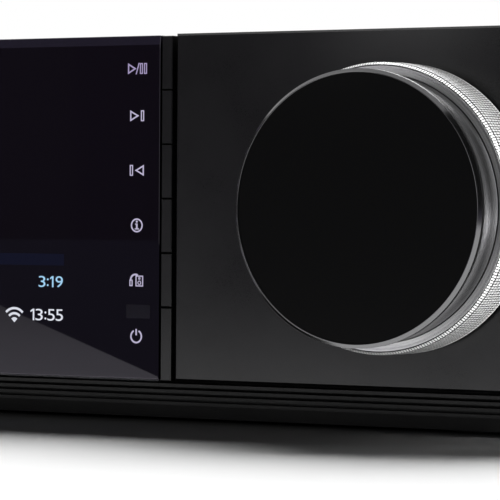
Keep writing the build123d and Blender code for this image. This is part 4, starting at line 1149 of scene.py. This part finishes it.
class STREAMER_OT_caps(bpy.types.Operator):
    """Fluted screw caps of the loudspeaker terminals, and the marks beside them"""

    bl_idname = "streamer.caps"
    bl_label = "Terminal caps"

    def execute(self, context):
        for side in ("right_minus", "right_plus", "left_minus", "left_plus"):
            look = "cap_red" if side.endswith("plus") else "cap_black"
            centre = self.cap(side, look)
            self.mark(side, centre)
        return {"FINISHED"}

    def cap(self, side, look):
        """Makes one cap and gives the place of its middle line."""
        sizes = rear()
        node = f"terminal_cap_{side}"
        low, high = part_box(node)
        centre = middle_line(low, high)
        radius = (high.x - low.x) / 2
        bore = 3.28 * MM
        start, groove = low.y + 0.3 * MM, high.y - 4.2 * MM
        points = [(bore, start), (radius - 0.7 * MM, start)]
        points += [(radius - 0.1 * MM, start + 0.5 * MM), (radius, start + 0.9 * MM)]
        points += [(radius, groove), (radius - 0.5 * MM, groove + 0.4 * MM)]
        points += [(radius - 0.5 * MM, groove + 1.0 * MM), (radius - 0.1 * MM, groove + 1.2 * MM)]
        points += [(radius - 0.1 * MM, high.y - 0.8 * MM), (radius - 0.8 * MM, high.y)]
        points += [(bore + 0.5 * MM, high.y), (bore, high.y - 0.5 * MM), (bore, start)]
        turned(points, centre, sizes.cap_flutes * 4)

        def in_flute(mesh, vertex):
            place = vertex.co
            turn = math.degrees(math.atan2(place.z - centre[1], place.x - centre[0]))
            share = turn * sizes.cap_flutes / 360 % 1
            inside = start + 0.7 * MM < place.y < groove + 0.2 * MM
            return inside and reach(place, centre) > radius - 0.05 * MM and 0.1 < share < 0.6

        mode("EDIT")
        pick("VERT", in_flute)
        widen(1 - sizes.flute_depth / radius, centre, low.y)
        mode("OBJECT")
        cap = complete(f"screw_cap_{side}", f"{side}_cap", look, (node,), 30)
        second_finish(
            cap, "gold",
            lambda mesh, face: groove + 0.3 * MM < face.center.y < high.y - 0.7 * MM
            and reach(face.center, centre) > radius - 1.0 * MM,
        )
        return centre

    def mark(self, side, centre):
        """Makes the plus or minus above one cap."""
        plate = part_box("terminal_plate")[1]
        place = (centre[0], plate.y, plate.z - 2.2 * MM)
        bars = [((-1.1, -0.25), (1.1, 0.25))]
        if side.endswith("plus"):
            bars += [((-0.25, 0.25), (0.25, 1.1)), ((-0.25, -1.1), (0.25, -0.25))]
        join(
            [
                slab(place, (low[0], -0.02, low[1]), (high[0], 0.06, high[1]), 0.03)
                for low, high in bars
            ]
        )
        complete(f"terminal_mark_{side}", "case", "white_print")


class STREAMER_OT_phono(bpy.types.Operator):
    """Coloured rings and centre sleeves of the phono sockets"""

    bl_idname = "streamer.phono"
    bl_label = "Phono sockets"

    def execute(self, context):
        low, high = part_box("rca_barrels")
        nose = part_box("socket_plate")[1].y + 0.6 * MM
        barrel = 4.15 * MM
        columns = [low.x + barrel, (low.x + high.x) / 2, high.x - barrel]
        rows = {"red_ring": low.z + barrel, "white_ring": high.z - barrel}
        top = nose + rear().phono_band
        inner, outer = 4.22 * MM, 5.15 * MM
        for look, z in rows.items():
            points = [(inner, nose), (inner, top - 0.1 * MM), (inner + 0.1 * MM, top)]
            points += [(outer - 0.2 * MM, top), (outer, top - 0.2 * MM), (outer, nose)]
            turned(points + points[:1], (columns[0], z), 48)
            copies([(x - columns[0], 0, 0) for x in columns[1:]])
            complete(f"phono_{look}s", "case", look)
        inner, outer = 1.35 * MM, 1.62 * MM
        front_end, back_end = high.y - 9.2 * MM, high.y - 1.3 * MM
        points = [(inner, front_end), (inner, back_end), (outer, back_end), (outer, front_end)]
        turned(points + points[:1], (columns[0], rows["red_ring"]), 32)
        places = [(x - columns[0], 0, z - rows["red_ring"]) for x in columns for z in rows.values()]
        copies(places[1:])
        complete("phono_sleeves", "case", "gold")
        return {"FINISHED"}


class STREAMER_OT_contacts(bpy.types.Operator):
    """Contacts, tongues and lamps of the data sockets"""

    bl_idname = "streamer.contacts"
    bl_label = "Socket contacts"

    def execute(self, context):
        def done(name, look):
            complete(name, "case", look)

        def row(steps):
            copies([(step * MM, 0, 0) for step in steps])

        # Places in millimetres from the network socket's opening: its floor's middle at the back
        low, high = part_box("ethernet_socket")
        opening = ((low.x + high.x) / 2, high.y, low.z + 3.0 * MM)
        lining = [slab(opening, (-5.85, -13.95, 0.02), (5.85, -13.5, 7.95), 0.1)]
        for left, right in ((-5.85, -5.35), (5.35, 5.85)):
            lining.append(slab(opening, (left, -13.6, 0.02), (right, -0.3, 7.95), 0.08))
        join(lining)
        done("network_lining", "plastic")
        slab(opening, (-3.75, -11.0, 6.6), (-3.39, -2.6, 6.95), 0.05)
        row(step * 1.02 for step in range(1, 8))
        done("network_contacts", "gold")
        for name, place, look in (("link", -5.0, "lamp_green"), ("data", 5.0, "lamp_amber")):
            slab(opening, (place - 1.4, -0.05, -2.2), (place + 1.4, 0.12, -0.8), 0.1, 2)
            done(f"network_lamp_{name}", look)

        # From the top of the flat data socket's opening
        low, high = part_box("usb_socket")
        opening = ((low.x + high.x) / 2, high.y, high.z - 0.95 * MM)
        slab(opening, (-4.95, -9.2, -1.86), (4.95, -1.34, -0.02), 0.12, 2)
        done("usb_tongue", "plastic")
        slab(opening, (-4.0, -8.8, -1.95), (-3.0, -1.9, -1.84), 0.04)
        row((2.0, 5.0, 7.0))
        done("usb_contacts", "gold")

        # From the middle of the video socket's opening
        low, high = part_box("hdmi_socket")
        opening = ((low.x + high.x) / 2, high.y, (low.z + high.z) / 2)
        slab(opening, (-5.15, -9.2, -0.66), (5.15, -1.74, 0.66), 0.1, 2)
        done("hdmi_tongue", "plastic")
        slab(opening, (-4.65, -8.0, 0.64), (-4.3, -2.2, 0.72), 0.03)
        row(range(1, 10))
        done("hdmi_contacts", "gold")
        return {"FINISHED"}


class STREAMER_OT_switch(bpy.types.Operator):
    """On and off marks of the mains switch"""

    bl_idname = "streamer.switch"
    bl_label = "Switch marks"

    def execute(self, context):
        frame_low, frame_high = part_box("switch_frame")
        pivot = Vector(((frame_low.x + frame_high.x) / 2, 153.0 * MM, 60.0 * MM))
        # The rocker's face falls by the dip from each end, at half its height, to its middle
        dip, half = 1.5 * MM, 7.6 * MM
        lean, tilt = math.atan2(dip, half), math.radians(-7.0)
        rise, middle = 3.9 * MM, 5.0 * MM
        out = middle + dip * rise / half
        for name, way in (("on", 1), ("off", -1)):
            if name == "on":
                bar((-0.3 * MM, -1.5 * MM), (0.3 * MM, 1.5 * MM), 0.0)
            else:
                outline(circle_points((0, 0), 1.5 * MM), 0.5 * MM, 0.0)
            piece = bpy.context.object
            thicken(0.05 * MM)
            piece.rotation_euler = (0, 0, math.pi)
            settle()
            up = way * rise
            y = out * math.cos(tilt) - up * math.sin(tilt)
            z = out * math.sin(tilt) + up * math.cos(tilt)
            piece.rotation_euler = (tilt - way * lean, 0, 0)
            piece.location = pivot + Vector((0.0, y, z))
            complete(f"switch_mark_{name}", "mains_rocker", "white_print")
        return {"FINISHED"}


class STREAMER_OT_screws(bpy.types.Operator):
    """Case screws with hexagonal recesses, and the headphone socket's ferrule"""

    bl_idname = "streamer.screws"
    bl_label = "Case screws"

    def execute(self, context):
        low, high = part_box("case_screws")
        radius, shank, ease = 2.8 * MM, 1.5 * MM, 0.5 * MM
        rear_face = high.y - 1.6 * MM
        tip = rear_face - 9.9 * MM

        def screw(centre):
            points = [(0, high.y - 0.05 * MM), (radius - ease, high.y - 0.05 * MM)]
            points += [(radius - 0.15 * MM, high.y - 0.2 * MM), (radius, high.y - 0.6 * MM)]
            points += [(radius, rear_face), (shank, rear_face), (shank, tip + 0.7 * MM)]
            points += [(shank - ease, tip), (0, tip)]
            turned(points, centre, 32)
            body = bpy.context.object
            clear_selection()
            bpy.ops.mesh.primitive_cylinder_add(
                vertices=6, radius=1.45 * MM, depth=2.4 * MM,
                location=(centre[0], high.y, centre[1]), rotation=(math.pi / 2, 0, 0),
            )
            recess = bpy.context.object
            activate(body)
            cut = body.modifiers.new("Recess", "BOOLEAN")
            cut.operation = "DIFFERENCE"
            cut.object = recess
            bpy.ops.object.modifier_apply(modifier=cut.name)
            bpy.data.objects.remove(recess)

        side_x = high.x - radius
        lower, upper = low.z + radius, 77.2 * MM
        screw((-side_x, lower))
        copies([(2 * side_x, 0, 0), (0, 0, upper - lower), (2 * side_x, 0, upper - lower)])
        complete("rear_screws", "case", "dark_steel", ("case_screws",))
        screw((0.0, 0.0))
        piece = bpy.context.object
        piece.rotation_euler = (math.pi / 2, 0, 0)
        settle()
        places = [(x, y) for x in (-side_x, side_x) for y in (low.y + radius, 5.5 * MM, 135 * MM)]
        piece.location = (*places[0], high.z - high.y)
        settle()
        copies([(x - places[0][0], y - places[0][1], 0) for x, y in places[1:]])
        complete("cover_screws", "case", "dark_steel", ("case_screws",))

        socket_low, socket_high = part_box("headphone_socket")
        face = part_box("knob_fascia")[0].y + 0.08 * MM
        seat = socket_low.y + 0.02 * MM
        inner, outer = 1.82 * MM, 3.35 * MM
        points = [(inner, seat), (inner, face + 0.25 * MM), (2.1 * MM, face), (3.1 * MM, face)]
        points += [(outer, face + 0.15 * MM), (outer, seat), (inner, seat)]
        turned(points, middle_line(socket_low, socket_high), 64)
        complete("headphone_ferrule", "case", "nickel")
        return {"FINISHED"}


# Studio


def first_look(tree, strength):
    """A strength that drops to nothing for light that has come by way of a dull surface."""
    bounces = add(tree, "ShaderNodeLightPath").outputs["Diffuse Depth"]
    fresh = reckon(tree, "SUBTRACT", 1.0, bounces, use_clamp=True)
    return reckon(tree, "MULTIPLY", fresh, strength)


def wall(start, end, low, high):
    """Corners of an upright card over the line between two (x, y) places."""
    return [(*start, low), (*end, low), (*end, high), (*start, high)]


def panel_card(name, corners, shade, strength):
    """A flat card that only gloss sees, as a studio sets up to shape reflections."""
    clear_selection()
    mesh = bpy.data.meshes.new(name)
    mesh.from_pydata(corners, [], [tuple(range(len(corners)))])
    card = bpy.data.objects.new(name, mesh)
    bpy.context.scene.collection.objects.link(card)
    material = bpy.data.materials.new(name)
    material.use_nodes = True
    tree = material.node_tree
    tree.nodes.clear()
    light = add(
        tree, "ShaderNodeEmission", in_Color=wide(shade), in_Strength=first_look(tree, strength)
    )
    add(tree, "ShaderNodeOutputMaterial", in_Surface=light.outputs[0])
    mesh.materials.append(material)
    card.visible_camera = False
    card.visible_diffuse = False
    card.visible_transmission = False
    card.visible_shadow = False


def lamp(name, place, aim, size, power, receiver=None):
    """A rectangular lamp that looks from a place at another; it may light one piece only."""
    data = bpy.data.lights.new(name, "AREA")
    data.shape = "RECTANGLE"
    data.size, data.size_y = size
    data.energy = power
    item = bpy.data.objects.new(name, data)
    bpy.context.scene.collection.objects.link(item)
    item.location = place
    item.rotation_euler = (Vector(aim) - Vector(place)).to_track_quat("-Z", "Y").to_euler()
    if receiver:
        pieces = bpy.data.collections.new(f"{name} receivers")
        pieces.objects.link(bpy.data.objects[receiver])
        item.light_linking.receiver_collection = pieces


class STREAMER_OT_studio(bpy.types.Operator):
    """Floor, lights and camera of the studio"""

    bl_idname = "streamer.studio"
    bl_label = "Studio"

    def execute(self, context):
        context.scene.view_settings.view_transform = "Standard"
        self.surroundings(context.scene)
        self.floor()
        self.lamps()
        self.camera(context.scene)
        self.cards()
        return {"FINISHED"}

    def surroundings(self, scene):
        """White where it is looked at, and a faint even light for everything else."""
        scene.world = bpy.data.worlds.new("Studio")
        scene.world.use_nodes = True
        tree = scene.world.node_tree
        tree.nodes.clear()
        path = add(tree, "ShaderNodeLightPath").outputs
        fill, white = (
            add(tree, "ShaderNodeBackground", in_Color=WHITE, in_Strength=strength).outputs[0]
            for strength in (studio().fill, 1.0)
        )
        seen = reckon(tree, "MAXIMUM", path["Is Camera Ray"], path["Is Glossy Ray"])
        seen = reckon(tree, "MAXIMUM", seen, path["Is Transmission Ray"])
        share = reckon(tree, "MULTIPLY", seen, first_look(tree, 1.0))
        mix = add(tree, "ShaderNodeMixShader", in_0=share, in_1=fill, in_2=white)
        add(tree, "ShaderNodeOutputWorld", in_Surface=mix.outputs[0])

    def floor(self):
        """A pale floor that runs out into plain white beyond the object's shadow."""
        clear_selection()
        bpy.ops.mesh.primitive_plane_add(size=8, location=(0, 0, 0))
        floor = bpy.context.object
        floor.name = "studio_floor"
        material, tree, shader, place = start_material("Pale floor", 0.0, 0.9, 0.0)
        shade = colours().floor
        node = effect(
            tree, "grain", place, Scale=300.0, Dark=wide(shade, 0.985), Light=wide(shade, 1.01),
            Smooth=0.88, Rough=0.92,
        )
        feed(tree, shader["Base Color"], node["Colour"])
        away = add(tree, "ShaderNodeVectorMath", operation="LENGTH", in_0=place)
        fade = ramp(tree, away.outputs["Value"], 0.4, 1.4, interpolation_type="SMOOTHSTEP")
        looked = add(tree, "ShaderNodeLightPath").outputs["Is Camera Ray"]
        feed(tree, shader["Emission Color"], WHITE)
        feed(tree, shader["Emission Strength"], reckon(tree, "MULTIPLY", fade, looked))
        floor.data.materials.append(material)

    def lamps(self):
        """Each lamp's name, place, aim, size, power and the one piece that it lights, if any."""
        settings = studio()
        for values in (
            ("Soft light", (-0.18, 1.05, 1.45), (0.0, -0.15, 0.0), (1.5, 1.1),
             settings.soft_light),
            ("Side light", (1.5, 0.75, 0.5), (0.13, -0.16, 0.06), (0.5, 0.5),
             settings.side_light),
            ("Front light", (0.3, -2.2, 1.3), (0.05, -0.15, 0.05), (1.6, 0.8),
             settings.front_light),
            ("Ring light", (0.6, -0.22, 0.2), (0.11, -0.16, 0.05), (0.5, 0.5),
             settings.ring_light, "knurled_ring"),
            ("Low ring light", (0.30, -0.33, 0.016), (0.10, -0.155, 0.02), (0.2, 0.02),
             settings.low_ring_light, "knurled_ring"),
            ("Base light", (0.35, -1.3, 0.12), (0.05, -0.14, 0.01), (0.6, 0.3),
             settings.base_light, "ribbed_plinth"),
        ):
            lamp(*values)

    def camera(self, scene):
        """The camera that took the photograph, turned to the side, leant and rolled."""
        settings = studio()
        side, lean, roll = (math.radians(value) for value in settings.camera_aim)
        back = Vector(
            (math.sin(side) * math.cos(lean), -math.cos(side) * math.cos(lean), math.sin(lean))
        )
        right = Vector((math.cos(side), math.sin(side), 0))
        up = back.cross(right)
        right, up = (
            right * math.cos(roll) + up * math.sin(roll),
            up * math.cos(roll) - right * math.sin(roll),
        )
        data = bpy.data.cameras.new("Camera")
        data.lens = settings.lens
        data.sensor_width = 36
        data.clip_start = 0.01
        camera = bpy.data.objects.new("Camera", data)
        scene.collection.objects.link(camera)
        turn = Matrix((right, up, back)).transposed().to_4x4()
        camera.matrix_world = Matrix.Translation(settings.camera_place) @ turn
        scene.camera = camera

    def cards(self):
        """Cards that only gloss sees: a pale one along the front, dark ones beyond it."""
        white = (1.0, 1.0, 1.0)
        near = [(-0.6, -0.172), (-0.6, -0.31), (0.5, -0.31), (0.5, -0.172)]
        low = [(-0.052, -0.300), (-0.30, -0.610), (-2.6, -3.485), (2.4, -3.55), (2.4, -0.300)]
        above = [(-5.8, -3.55, 0.56), (0.5, -3.55, 0.56), (0.5, -2.2, 3.2), (-5.8, -2.2, 3.2)]
        for values in (
            ("card_near", [(*place, 0.0006) for place in near], white, 2.0),
            ("card_low", [(*place, 0.001) for place in low], (0.15, 0.14, 0.19), 1.0),
            ("card_front", wall((-5.8, -3.55), (0.5, -3.55), 0.0, 0.56), (0.11, 0.09, 0.12), 1.0),
            ("card_above", above, (0.03, 0.03, 0.03), 1.0),
            ("card_band", wall((-2.8, -2.9), (-1.62, -2.9), 0.95, 1.5), (0.34, 0.31, 0.44), 1.0),
            ("card_middle", wall((-1.35, -3.5), (1.4, -3.5), 0.0, 2.0), white, 1.0),
            ("card_top", wall((0.042, -0.235), (0.074, -0.235), 0.090, 0.125), white, 1.75),
            ("card_right", wall((2.0, -2.4), (2.0, -0.75), 0.0, 4.0), (0.02, 0.02, 0.02), 1.0),
        ):
            panel_card(*values)


class STREAMER_PT_panel(bpy.types.Panel):
    """Lists the steps that dress the streamer"""

    bl_label = "Streamer"
    bl_idname = "STREAMER_PT_panel"
    bl_space_type = "VIEW_3D"
    bl_region_type = "UI"
    bl_category = "Streamer"

    def draw(self, context):
        for operator in OPERATORS:
            self.layout.operator(operator.bl_idname)
        for group in GROUPS:
            holder = getattr(context.scene, group)
            box = self.layout.box()
            for name in holder.__annotations__:
                box.prop(holder, name)


GROUPS = {
    "streamer_front": FrontSizes,
    "streamer_rear": RearSizes,
    "streamer_colours": Colours,
    "streamer_studio": StudioSettings,
}
OPERATORS = [
    STREAMER_OT_finishes,
    STREAMER_OT_glass,
    STREAMER_OT_screen,
    STREAMER_OT_signs,
    STREAMER_OT_ring,
    STREAMER_OT_knob,
    STREAMER_OT_caps,
    STREAMER_OT_phono,
    STREAMER_OT_contacts,
    STREAMER_OT_switch,
    STREAMER_OT_screws,
    STREAMER_OT_studio,
]


def register():
    for group in GROUPS.values():
        bpy.utils.register_class(group)
    for name, group in GROUPS.items():
        setattr(bpy.types.Scene, name, bpy.props.PointerProperty(type=group))
    for operator in OPERATORS:
        bpy.utils.register_class(operator)
    bpy.utils.register_class(STREAMER_PT_panel)


def unregister():
    bpy.utils.unregister_class(STREAMER_PT_panel)
    for operator in reversed(OPERATORS):
        bpy.utils.unregister_class(operator)
    for name in GROUPS:
        delattr(bpy.types.Scene, name)
    for group in GROUPS.values():
        bpy.utils.unregister_class(group)


def main():
    """Runs every step in order."""
    register()
    for operator in OPERATORS:
        area, name = operator.bl_idname.split(".")
        getattr(getattr(bpy.ops, area), name)()


if __name__ == "__main__":
    main()
